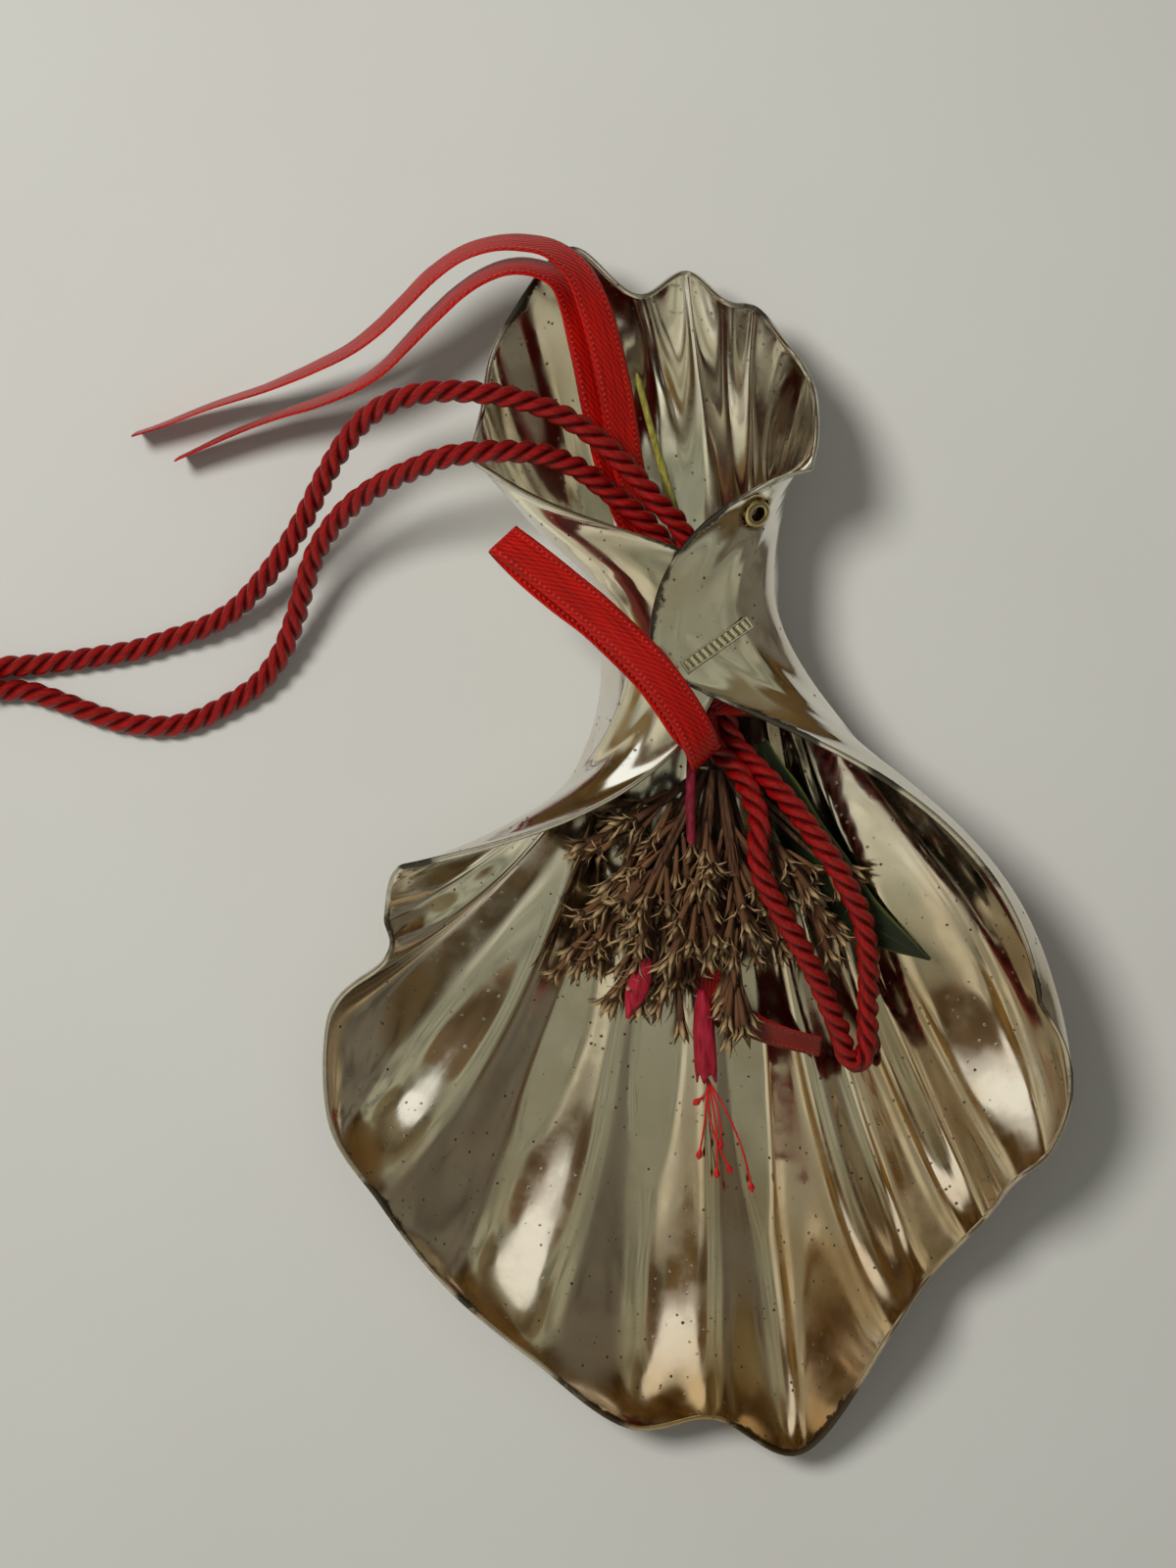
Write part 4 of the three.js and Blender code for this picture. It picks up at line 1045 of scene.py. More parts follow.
@dataclass(frozen=True)
class LeafBlade:
    """Dried evergreen leaf: dull dark green, lighter veins and a yellowed margin, all darkened further with
    painted shade.
    """

    # These colours are darker than the leaf's own: painted shade of the flap over it
    blade: str = "#12180A"
    vein: str = "#1E280E"
    margin: str = "#4E5620"

    def make(self) -> Look:
        """Build the material. The UV map runs -1 to 1 across the blade and 0 to 1 along it.

        Returns:
            The material.
        """
        material, add = start_material("dried_leaf")
        lie = add(FLOW)
        place = add(PLACE)
        parts = add(SPLIT, lie).node.outputs
        away = add(ABSOLUTE, parts[0])
        side = add(SINE, add(TIMES, add(TIMES_PLUS, away, 0.35, parts[1]), 62.0))
        side_vein = add(RANGE, side, 0.82, 1.0, 0, 0.45)
        veins = add(MAXIMUM, side_vein, add(RANGE, away, 0.03, 0.12, 0.9, 0.0))
        green = add(MIX, veins, self.blade, self.vein)
        colour = add(MIX, add(RANGE, away, 0.82, 0.97, 0, 0.8), green, self.margin)
        skin = add(NOISE, place, per_mm(0.9), 4.0)
        bump = add(BUMP, add(TIMES_PLUS, skin, 0.4, veins), 0.5, 0.15 * MM)
        return end_material(material, colour, 0.55, bump)


@dataclass(frozen=True)
class PaleTable:
    """Matt melamine table top: warm light grey with a faint cloudiness."""

    top: str = "#CFCEC7"
    cloud: str = "#C8C6BE"

    def make(self) -> Look:
        """Build the material.

        Returns:
            The material.
        """
        material, add = start_material("matt_melamine")
        place = add(PLACE)
        mottle = add(NOISE, place, per_mm(60.0), 5.0)
        colour = add(MIX, mottle, self.top, self.cloud)
        grain = add(NOISE, place, per_mm(0.7), 3.0)
        bump = add(BUMP, grain, 0.15, 0.03 * MM)
        return end_material(material, colour, 0.6, bump)


# ---------------------------------------------------------------- silver


@dataclass
class SilverSheet:
    """The fluted sheet: cup above, bowl below, rolled at the waist with its right side lapped on top."""

    waist_y: float = 34.5
    waist_slant: float = 0.5
    lift: float = -1.85
    wall: float = 0.9
    bead: float = 0.98
    across_steps: int = 276
    cup_steps: int = 50
    bowl_steps: int = 92
    ends_across: tuple[float, float] = (0.0022, 0.9978)
    ends_along: tuple[float, float] = (-0.9915, 0.9958)
    eyelet_place: tuple[float, float] = (0.946, -0.578)
    eyelet_hole: float = 3.6
    # What the eyelet's halo reads on the rim, where it has none
    far_mm: float = 50.0
    unrolled_mm: float = 300.0
    dent_mm: float = 0.3
    cup_relief: float = 0.15
    bowl_relief: float = 0.7
    ridges: tuple[float, ...] = (0.22, 0.33, 0.42, 0.47, 0.50, 0.58, 0.59, 0.67, 0.71)
    crease: float = 0.006
    finish: SilverPlate = SilverPlate()

    def middle(self, across: Array, along: Array) -> Array:
        """Points in the middle of the wall, as the CAD part has them.

        Args:
            across: Shares from the hidden edge, 0, to the flap's edge, 1.
            along: Shares from the cup's rim, -1, through the waist, 0, to the bowl's rim, 1.

        Returns:
            A grid of points, across by along.
        """
        x, z = along_rows(WAIST_SECTION, across).T
        waist = np.stack([x, self.waist_y + self.waist_slant * x, z], 1)[:, None]
        grid = np.empty((len(across), len(along), 3))
        for rows, side, height in (
            (CUP_RIBS, along < 0, self.cup_relief), (BOWL_RIBS, along >= 0, self.bowl_relief)
        ):
            ribs = along_lobes(rows, self.ridges, across, self.crease, height)
            ribs[:, 4:] = along_rows(rows, across)[:, 4:]
            reach = ribs[:, 0] * (1 if rows is CUP_RIBS else -1)
            lean = waist + np.stack([0 * reach, reach, 0 * reach], 1)[:, None]
            belly, rim = ribs[:, None, 1:4], ribs[:, None, 4:7]
            t = np.abs(along[side])[None, :, None]
            grid[:, side] = (
                (1 - t) ** 3 * waist + 3 * (1 - t) ** 2 * t * lean + 3 * (1 - t) * t**2 * belly + t**3 * rim
            )
        grid[..., 2] += self.lift
        return grid

    def seat(self, across: float, along: float) -> tuple[Array, Array]:
        """Where a piece that sits on the sheet stands.

        Args:
            across: Share across the sheet.
            along: Share along the sheet.

        Returns:
            The place, and its three ways as rows: to the right, to the side, up from the sheet.
        """
        step = 1e-3
        near = self.middle(
            np.array([across - step, across, across + step]), np.array([along - step, along, along + step])
        )
        up = unit(np.cross(near[2, 1] - near[0, 1], near[1, 2] - near[1, 0]))
        side = unit(np.cross(up, np.array([1.0, 0.0, 0.0])))
        return near[1, 1], np.array([np.cross(side, up), side, up])

    @staticmethod
    def _shares(start: float, end: float, steps: int, fine: float) -> Array:
        """Equal shares with a few closer ones at both ends, for the rolled rim.

        Args:
            start: The first share.
            end: The last share.
            steps: How many equal steps lie between them.
            fine: The unit of the closer steps.

        Returns:
            The shares in rising order.
        """
        rows = np.linspace(start, end, steps + 1)
        ladder = fine * np.array([0.0, 0.45, 1.0, 1.8])
        inner = rows[(rows > start + 2.6 * fine) & (rows < end - 2.6 * fine)]
        return np.concatenate([start + ladder, inner, end - ladder[::-1]])

    def _dents(self, flow: Array, calm: Array) -> Array:
        """How far hand pressing has pushed the wall in or out, in millimetres.

        Args:
            flow: Millimetres across and along the sheet at each point.
            calm: 0 where the sheet stays true, 1 elsewhere.

        Returns:
            One value for each point.
        """
        wide = np.stack([flow[..., 0] / 20, flow[..., 1] / 24, 0 * flow[..., 0]], -1)
        small = np.stack([flow[..., 0] / 6.0, flow[..., 1] / 11, 0 * flow[..., 0]], -1)
        return calm * (self.dent_mm * ripple(wide, 3.1) + 0.2 * self.dent_mm * ripple(small, 8.4))

    def build(self) -> Piece:
        """Make the sheet with its wall, its rolled rim, its dents and the eyelet's hole.

        Returns:
            The piece, with the fields edge_mm and halo_mm and a UV map in millimetres.
        """
        across = self._shares(*self.ends_across, self.across_steps, 0.0016)
        cup = self._shares(self.ends_along[0], -0.02, self.cup_steps, 0.007)
        cup = cup[cup < -0.022]
        bowl = self._shares(0.0, self.ends_along[1], self.bowl_steps, 0.0042)
        bowl = np.concatenate([np.linspace(-0.012, 0.012, 3), bowl[bowl > 0.016]])
        along = np.concatenate([cup, bowl])
        middle = self.middle(across, along)
        run_v = np.cumsum(np.linalg.norm(np.diff(middle, axis=1, prepend=middle[:, :1]), axis=-1), axis=1)
        run_u = np.cumsum(np.linalg.norm(np.diff(middle, axis=0, prepend=middle[:1]), axis=-1), axis=0)
        edge = np.minimum.reduce([run_v, run_v[:, -1:] - run_v, run_u, run_u[-1:] - run_u])
        start = np.argmin(np.abs(along))
        flow = np.stack(
            [0 * run_v + across[:, None] * self.unrolled_mm, run_v - run_v[:, start : start + 1]], -1
        )
        hub, ways = self.seat(*self.eyelet_place)
        offset = middle - hub
        aside = np.stack([offset @ ways[0], offset @ ways[1]], -1)
        hole_run = np.linalg.norm(aside, axis=-1) + 3 * np.abs(offset @ ways[2])
        calm = np.clip((hole_run - 3) / 6, 0, 1) * np.clip((edge + 2) / 6, 0, 1)
        ahead = np.cross(np.gradient(middle, axis=0), np.gradient(middle, axis=1))
        middle = middle + unit(ahead) * self._dents(flow, calm)[..., None]
        normal = unit(np.cross(np.gradient(middle, axis=0), np.gradient(middle, axis=1)))
        near_hole = hole_run < self.eyelet_hole
        pushed = np.where(near_hole, self.eyelet_hole / 2 + hole_run / 2, hole_run)
        spread = pushed / np.maximum(hole_run, 1e-6) - 1
        shift = aside[..., :1] * ways[0] + aside[..., 1:] * ways[1]
        middle = middle + np.where(near_hole, spread, 0)[..., None] * shift
        half = self.wall / 2 + (self.bead - self.wall) / 2 * np.exp(-((edge / 0.8) ** 2))
        outer = middle + normal * half[..., None]
        inner = middle - normal * half[..., None]
        outer[..., 2] = np.maximum(outer[..., 2], 0.0)
        inner[..., 2] = np.maximum(inner[..., 2], self.wall)
        piece = self._join(outer, inner, middle, normal, hole_run < 0.55 * self.eyelet_hole / 2)
        both = 3 * len(border(*edge.shape))
        store(piece, "edge_mm", np.concatenate([edge.ravel(), edge.ravel(), np.zeros(both)]))
        store(
            piece, "halo_mm",
            np.concatenate([hole_run.ravel(), hole_run.ravel(), np.full(both, self.far_mm)])
        )
        lie = flow.reshape(-1, 2)
        store_uv(piece, np.concatenate([lie, lie, np.zeros((both, 2))]))
        take_place(piece, "silver_shell", "silver", self.finish.make())
        return piece

    def _join(self, outer: Array, inner: Array, middle: Array, normal: Array, cut: Array) -> Piece:
        """Join both sides with a round rim, and leave the eyelet's hole open.

        Args:
            outer: The outer side's grid.
            inner: The inner side's grid.
            middle: The wall's middle.
            normal: The way out of the wall.
            cut: True for points whose faces are left out.

        Returns:
            The closed sheet.
        """
        rows, columns = outer.shape[:2]
        half = rows * columns
        at = border(rows, columns)
        i, j = np.divmod(at, columns)
        inside = np.clip(i, 1, rows - 2) * columns + np.clip(j, 1, columns - 2)
        outer, inner, middle, normal = (grid.reshape(-1, 3) for grid in (outer, inner, middle, normal))
        up = normal[at]
        away = squared(middle[at] - middle[inside], up)
        centre = (outer[at] + inner[at]) / 2
        strips = []
        for angle in map(math.radians, (45, 90, 135)):
            strips.append(centre + (up * math.cos(angle) + away * math.sin(angle)) * self.bead / 2)
            strips[-1][:, 2] = np.maximum(strips[-1][:, 2], 0.0)
        gone = (cut[:-1, :-1] | cut[1:, :-1] | cut[:-1, 1:] | cut[1:, 1:]).ravel()
        quads = list(zip(grid_faces(rows, columns), gone))
        faces = [quad for quad, hole in quads if not hole]
        faces += other_side(faces, half)
        edges = {(quad[k], quad[(k + 1) % 4]): 1 for quad, hole in quads if hole for k in range(4)}
        faces += [(b, a, a + half, b + half) for a, b in edges if (b, a) not in edges]
        rim = np.concatenate([at, 2 * half + np.arange(3 * len(at)), at + half])
        faces += [tuple(rim[q] for q in quad) for quad in ring_faces(5, len(at))]
        piece = make_mesh("silver_shell_visual", np.concatenate([outer, inner, *strips]), faces)
        point_outwards(piece)
        return piece


def lathe(profile: list[tuple[float, float]], sides: int) -> tuple[Array, list]:
    """Turn a closed profile of (radius, height) corners round the third axis, into points and faces.

    Args:
        profile: The corners, going round.
        sides: How many times the profile is set.

    Returns:
        The points and the faces.
    """
    angles = np.linspace(0, math.tau, sides, endpoint=False)
    points = np.array([(r * math.cos(a), r * math.sin(a), h) for a in angles for r, h in profile])
    return points, [tuple(q % len(points) for q in quad) for quad in ring_faces(sides + 1, len(profile))]


@dataclass
class Eyelet:
    """The tubular rivet near the flap's upper right corner, flanged on both sides."""

    bore: float = 2.0
    barrel: float = 3.0
    flange: float = 4.4
    flange_thick: float = 0.4
    flange_seat: float = 0.86
    sides: int = 48
    finish: NickelledBrass = NickelledBrass()

    def _profile(self) -> list[tuple[float, float]]:
        """The rivet's section, with rounded flanges, going round from the bore.

        Returns:
            Its corners as (radius, height).
        """
        seat, top = self.flange_seat, self.flange_seat + self.flange_thick
        bore, barrel, flange = self.bore / 2, self.barrel / 2, self.flange / 2
        half = [
            (barrel, seat - 0.1), (flange - 0.15, seat), (flange, seat + 0.12),
            (flange - 0.08, seat + 0.30), (flange - 0.35, top), (bore + 0.45, top + 0.04),
            (bore + 0.12, top - 0.10), (bore, top - 0.38)
        ]
        return half + [(r, -h) for r, h in half[::-1]]

    def build(self, sheet: SilverSheet) -> None:
        """Make the rivet where the sheet has its hole.

        Args:
            sheet: The sheet that it sits in.
        """
        points, faces = lathe(self._profile(), self.sides)
        place, ways = sheet.seat(*sheet.eyelet_place)
        radius = np.linalg.norm(points[:, :2], axis=1)
        crest = np.clip((radius - self.bore / 2) / 0.5, 0, 1)
        piece = make_mesh("eyelet_visual", place + points @ ways, faces)
        point_outwards(piece)
        store(piece, "crest", crest)
        take_place(piece, "eyelet", "eyelet_brass", self.finish.make())


@dataclass
class MarkBar:
    """The small raised bar on the flap: a frame round a row of plain struck ribs."""

    length: float = 12.4
    width: float = 2.2
    base: float = 0.55
    relief: float = 0.17
    ribs: int = 11
    frame: float = 0.28
    seat_gap: float = 0.12
    place: tuple[float, float] = (0.915, 0.114)
    turn: float = 0.61
    steps: tuple[int, int] = (176, 26)
    finish: CastSilver = CastSilver()

    def _height(self, x: Array, y: Array) -> Array:
        """Height of the struck face over the bar's foot, and so its frame, ribs and hollows.

        Args:
            x: Places along the bar.
            y: Places across it.

        Returns:
            One height for each place.
        """
        edge = np.minimum(self.length / 2 - np.abs(x), self.width / 2 - np.abs(y))
        rim = np.clip(1 - np.abs(edge - self.frame * 0.6) / (self.frame * 0.6), 0, 1) ** 0.5
        pitch = (self.length - 2.4 * self.frame) / self.ribs
        wave = 0.5 + 0.5 * np.cos(math.tau * (x + 0.18 * y) / pitch)
        bump = np.clip(1.5 * wave - 0.15, 0, 1) * np.clip((edge - self.frame) / 0.18, 0, 1)
        worn = 0.75 + 0.35 * ripple(np.stack([x / 1.3, y / 0.9, 0 * x], -1), 5.2)
        return self.base + self.relief * np.maximum(0.9 * rim, bump * worn)

    def build(self, sheet: SilverSheet) -> None:
        """Make the bar on the flap.

        Args:
            sheet: The sheet that it sits on.
        """
        x = np.linspace(-self.length / 2, self.length / 2, self.steps[0] + 1)
        y = np.linspace(-self.width / 2, self.width / 2, self.steps[1] + 1)
        grid_x, grid_y = np.meshgrid(x, y, indexing="ij")
        top = self._height(grid_x, grid_y)
        seat = sheet.wall / 2 + self.seat_gap
        local = np.stack([grid_x, grid_y, top + seat], -1)
        foot = np.stack([grid_x, grid_y, 0 * top + seat], -1)
        c, s = math.cos(self.turn), math.sin(self.turn)
        spin = np.array([[c, s, 0], [-s, c, 0], [0, 0, 1]])
        place, ways = sheet.seat(*self.place)
        piece = make_wall("hallmark_bar_visual", place + local @ spin @ ways, place + foot @ spin @ ways)
        crest = np.clip((top - self.base) / self.relief, 0, 1).ravel()
        store(piece, "crest", np.concatenate([crest, 0 * crest]))
        take_place(piece, "hallmark_bar", "silver", self.finish.make())


# ---------------------------------------------------------------- cord and ribbon


@dataclass
class LaidCord:
    """The doubled cord: two strands that leave the cup, the doubled end in the bowl, and the knot."""

    diameter: float = 3.6
    lay_length: float = 9.0
    step: float = 0.42
    groove_share: float = 0.44
    sides: int = 36
    knot_coil_radius: float = 2.35
    knot_cord: float = 3.0
    knot_length: float = 8.2
    fringe_length: float = 10.4
    fringe_count: int = 70
    finish: RayonCord = RayonCord()

    def _strand(self, name: str, line: Array, trees: Trees, look: Look, size: float) -> Piece:
        """Lay one length of cord along a line of points, of the given diameter in millimetres.

        Args:
            name: The piece's name.
            line: The points of its middle.
            trees: The geometry trees.
            look: Its material.
            size: Its diameter.

        Returns:
            The strand.
        """
        piece = skin_lines(name, [line], [np.full(len(line), 1.0)])
        inputs = {
            "Radius": size / 2 * MM, "Lay Length": self.lay_length * MM, "Step": self.step * MM,
            "Groove Share": self.groove_share, "Sides": self.sides, "Finish": look
        }
        return grow(piece, trees.cord, inputs)

    def _knot(self, trees: Trees, look: Look) -> Piece:
        """The knot outside the picture's left edge: turns of cord drawn tight, with brushed ends.

        Args:
            trees: The geometry trees.
            look: Its material.

        Returns:
            The knot.
        """
        upper, lower = np.array(UPPER_STRAND_ROUTE[-1]), np.array(LOWER_STRAND_ROUTE[-1])
        start = np.array([upper[0], (upper[1] + lower[1]) / 2, 4.05])
        turns = np.linspace(0, 1, 150)
        angle = turns * math.tau * 2.7 + 0.6
        swell = self.knot_coil_radius * np.sin(
            np.clip(turns * 1.25 + 0.12, 0, 1) * math.pi / 2 + 0.35
        ) ** 0.5
        coil = np.stack(
            [
                start[0] - 1.4 - turns * (self.knot_length - 3.0), start[1] + swell * np.cos(angle),
                start[2] + swell * np.sin(angle)
            ],
            -1
        )
        knot = self._strand("cord_knot_visual", coil, trees, look, self.knot_cord)
        dice = random.Random(11)
        lines, radii = [], []
        root = np.array([start[0] - self.knot_length + 1.6, start[1], 3.9])
        for _ in range(self.fringe_count):
            side = dice.uniform(-1, 1)
            rise = dice.uniform(-1, 1)
            reach = self.fringe_length * dice.uniform(0.82, 1.0)
            t = np.linspace(0, 1, 6)
            line = root + np.stack(
                [
                    -reach * t, side * (1.0 + 2.0 * t) + 0.25 * np.sin(7 * t + 5 * side),
                    rise * (0.9 - 0.2 * t) * 1.5 - 0.9 * t**2
                ],
                -1
            )
            line[:, 2] = np.maximum(line[:, 2], 0.25)
            lines.append(line)
            radii.append(np.full(6, 0.2))
        fringe = skin_lines("cord_fringe", lines, radii)
        grow(fringe, trees.tubes, {"Sides": 5, "Finish": look})
        count = len(fringe.data.vertices)
        spots = np.empty(count * 3)
        fringe.data.vertices.foreach_get("co", spots)
        store(fringe, "ply", np.full(count, 0.8))
        store(fringe, "fibre", spots.reshape(-1, 3) / MM)
        merge(knot, fringe)
        return knot

    def build(self, trees: Trees) -> None:
        """Args:
            trees: The geometry trees.
        """
        look = self.finish.make()
        knot = self._knot(trees, look)
        take_place(knot, "cord_knot", "cord")
        for node, points, end, knots in (
            ("cord_upper_strand", UPPER_STRAND_ROUTE, FarEnd.KNOT, [knot]),
            ("cord_lower_strand", LOWER_STRAND_ROUTE, FarEnd.KNOT, []),
            ("cord_bight", BIGHT_ROUTE, FarEnd.OBJECT, [])
        ):
            line = smooth_route(points, 12 * (len(points) - 1))
            piece = self._strand(f"{node}_visual", line, trees, look, self.diameter)
            take_place(piece, node, "cord")


@dataclass
class SatinRibbon:
    """The red ribbon: two tails over the cup's lip, the bow's loop, and its last end in the bowl."""

    width: float = 6.0
    thick: float = 0.3
    crown: float = 0.16
    across_steps: int = 14
    step: float = 0.55
    tie_width: float = 3.2
    tie_centre: Spot = (2.9, 22.3, 10.3)
    tie_radii: tuple[float, float] = (5.75, 6.55)
    tie_turns: float = 2.35
    finish: SatinRibbonFinish = SatinRibbonFinish()
    # A darker copy of the satin: painted shadow of the flowers that lie over the low end
    shadowed_satin: SatinRibbonFinish = SatinRibbonFinish(face="#860E0E", shade="#6A080A", glow="#C04038")

    def _strip(self, name: str, points: list[tuple], ways: list[tuple], seed: float) -> Piece:
        """One length of ribbon along a route.

        Args:
            name: The piece's name.
            points: The route.
            ways: The ribbon's width way, shared out along the route.
            seed: Moves its creases.

        Returns:
            The strip as a closed, thin mesh with a UV map in millimetres.
        """
        rough = smooth_route(points, 400)
        steps = max(8, round(run_length(rough)[-1] / self.step))
        line = smooth_route(points, steps)
        forward = unit(np.gradient(line, axis=0))
        table = np.array(ways, float)
        place = np.linspace(0, len(ways) - 1, steps + 1)
        low = np.clip(place.astype(int), 0, len(ways) - 2)
        way = table[low] + (table[low + 1] - table[low]) * (place - low)[:, None]
        way = squared(way, forward)
        up = unit(np.cross(way, forward))
        side = np.linspace(-1, 1, self.across_steps + 1) * self.width / 2
        run = run_length(line)
        flow = np.stack(np.meshgrid(run, side, indexing="ij"), -1)
        arch = self.crown * (1 - (side / (self.width / 2)) ** 2)
        wave = 0.13 * ripple(np.concatenate([flow / [7.0, 5.0], 0 * flow[..., :1]], -1), seed)
        selvedge = 0.5 + 0.5 * np.clip((self.width / 2 - np.abs(side)) / 0.35, 0, 1)
        middle = line[:, None] + side[None, :, None] * way[:, None]
        rise = (arch[None] + wave)[..., None] * up[:, None]
        half = (self.thick / 2 * selvedge)[None, :, None] * up[:, None]
        front, back = middle + rise + half, middle + rise - half
        front[..., 2] = np.maximum(front[..., 2], self.thick)
        back[..., 2] = np.maximum(back[..., 2], 0.02)
        piece = make_wall(name, front, back)
        store_strip_uv(piece, run, side)
        return piece

    def build(self) -> None:
        look, dull = self.finish.make(), self.shadowed_satin.make()
        for node, points, ways, end, seed, finish in (
            ("ribbon_long_tail", LONG_TAIL_ROUTE, TAIL_WIDTH_WAYS, FarEnd.BARE, 1.3, look),
            ("ribbon_short_tail", SHORT_TAIL_ROUTE, TAIL_WIDTH_WAYS, FarEnd.BARE, 4.7, look),
            ("ribbon_front_loop", FRONT_LOOP_ROUTE, FRONT_LOOP_WIDTH_WAYS, FarEnd.OBJECT, 7.9, look),
            # The low end takes the darker satin, a painted shadow
            ("ribbon_low_end", LOW_END_ROUTE, LOW_END_WIDTH_WAYS, FarEnd.BARE, 9.1, dull)
        ):
            piece = self._strip(f"{node}_visual", points, ways, seed)
            take_place(piece, node, "ribbon", finish)
        self._tie(look)

    def _tie(self, look: Look) -> None:
        """The ribbon's turns that bind the stems and the cord inside the waist.

        Args:
            look: Its material.
        """
        centre = np.array(self.tie_centre)
        turns = np.linspace(0, self.tie_turns, 160)
        angle = turns * math.tau
        wide, high = (radius + (0.12 + 0.16 * turns) for radius in self.tie_radii)
        coil = [wide * np.cos(angle), 0.15 * np.sin(turns * 2.2), high * np.sin(angle)]
        line = centre + np.stack(coil, -1)
        side = np.linspace(-1, 1, 9) * self.tie_width / 2
        out = unit((line - centre) * [1, 0, 1])
        lengthwise = np.array([0.0, 1.0, 0.0])
        middle = line[:, None] + side[None, :, None] * lengthwise
        half = 0.11 * out[:, None]
        piece = make_wall("ribbon_tie_visual", middle + half, middle - half)
        store_strip_uv(piece, run_length(line), side)
        take_place(piece, "ribbon_tie", "ribbon", look)


# ---------------------------------------------------------------- dried flowers


@dataclass
class DriedSprigs:
    """Twelve dried flower heads on their stems, and the bound stems inside the waist."""

    florets_per_mm: float = 1.15
    floret_length: float = 7.2
    tube_radius: float = 0.66
    lobe_length: float = 3.7
    stem_radius: float = 0.42
    # From how far over a floret's end the sheet is looked for, and what stands for no sheet there
    look_from: float = 8.0
    no_floor: float = -10.0
    bundle_from: Spot = (3.0, 12.6, 7.6)
    bundle_to: Spot = (1.0, 42.0, 6.6)
    bundle_radius: float = 2.9
    bundle_stems: int = 19
    finish: DriedFloret = DriedFloret()
    stem_finish: PlantSkin = PlantSkin("dried_stem", "#3A2418", "#624432", 0.75)

    def _floret(self, name: str, lobes: int, spread: float, length: float) -> Piece:
        """One floret that stands on the origin and points up, in millimetres.

        Args:
            name: The mesh's name.
            lobes: How many points its mouth has.
            spread: How far the points lean out, in radians.
            length: The tube's length.

        Returns:
            The object, with the field tipness.
        """
        sides, rings = 6, [(0.0, 0.10), (0.12, 0.55), (0.55, 0.75), (1.0, 1.0)]
        points, tips = [(0.0, 0.0, -0.1)], [0.0]
        for share, wide in rings:
            for a in np.arange(sides) / sides * math.tau:
                r = wide * self.tube_radius
                points.append((r * math.cos(a), r * math.sin(a), share * length))
                tips.append(0.45 * share)
        throat, top = len(points), len(points) - sides
        points.append((0.0, 0.0, length * 0.93))
        tips.append(0.25)
        faces = ring_faces(len(rings), sides, 1)
        for k, n in ((k, (k + 1) % sides) for k in range(sides)):
            faces += [(0, 1 + n, 1 + k), (top + k, top + n, throat)]
        for k in range(lobes):
            a = (k + 0.3) / lobes * math.tau
            out = np.array([math.cos(a), math.sin(a), 0.0])
            side = np.array([-math.sin(a), math.cos(a), 0.0])
            base = out * self.tube_radius * 0.8 + [0, 0, length * 0.97]
            first = len(points)
            for share, wide in ((0.0, 0.36), (0.45, 0.56)):
                lean = spread * (0.4 + 0.9 * share)
                middle = base + (out * math.sin(lean) + [0, 0, math.cos(lean)]) * share * self.lobe_length
                thick = out * math.cos(lean) - [0, 0, math.sin(lean)]
                points += [middle + side * wide, middle + thick * 0.16, middle - side * wide]
                tips += [0.5 + 0.35 * share] * 3
            lean = spread * 1.35
            points.append(base + (out * math.sin(lean) + [0, 0, math.cos(lean)]) * self.lobe_length)
            tips.append(1.0)
            faces += ring_faces(2, 3, first) + [(first + 2, first + 1, first)]
            faces += [(first + 3 + m, first + 3 + (m + 1) % 3, first + 6) for m in range(3)]
        return self._kept(name, points, faces, tips)

    def _bract(self, name: str) -> Piece:
        """One brown pointed bract, folded along its middle.

        Args:
            name: The mesh's name.

        Returns:
            The object, with the field tipness.
        """
        points, tips = [], []
        for share, wide in ((0.0, 0.25), (0.35, 0.75), (0.7, 0.55)):
            for side, fold in ((-1, 0.0), (0, 0.22 * wide), (1, 0.0), (0, 0.28)):
                points.append((side * wide, 0.9 * share**2 - fold, share * self.floret_length))
                tips.append(0.3 * share)
        points.append((0.0, 1.3, 0.98 * self.floret_length))
        tips.append(0.42)
        faces = ring_faces(3, 4) + [(8 + k, 8 + (k + 1) % 4, 12) for k in range(4)] + [(3, 2, 1, 0)]
        return self._kept(name, points, faces, tips)

    @staticmethod
    def _kept(name: str, points: list, faces: list, tips: list[float]) -> Piece:
        """Make a part for planting: closed, faces outwards, in metres about the origin.

        Args:
            name: The mesh's name.
            points: Its points in millimetres.
            faces: Lists of point numbers.
            tips: The field tipness.

        Returns:
            The object.
        """
        piece = make_mesh(name, np.array(points) * MM, faces, metres=True)
        point_outwards(piece)
        store(piece, "tipness", np.array(tips))
        return piece

    def _kinds(self) -> bpy.types.Collection:
        """The florets and bracts to plant, in a collection of their own.

        Returns:
            The collection, which is not in the scene.
        """
        kinds = bpy.data.collections.new("floret_kinds")
        length = self.floret_length
        parts = [
            self._floret("floret_a", 5, 0.48, length), self._floret("floret_b", 5, 0.28, 0.85 * length),
            self._floret("floret_c", 4, 0.75, 0.95 * length), self._bract("floret_d")
        ]
        for part in parts:
            bpy.context.scene.collection.objects.unlink(part)
            kinds.objects.link(part)
        return kinds

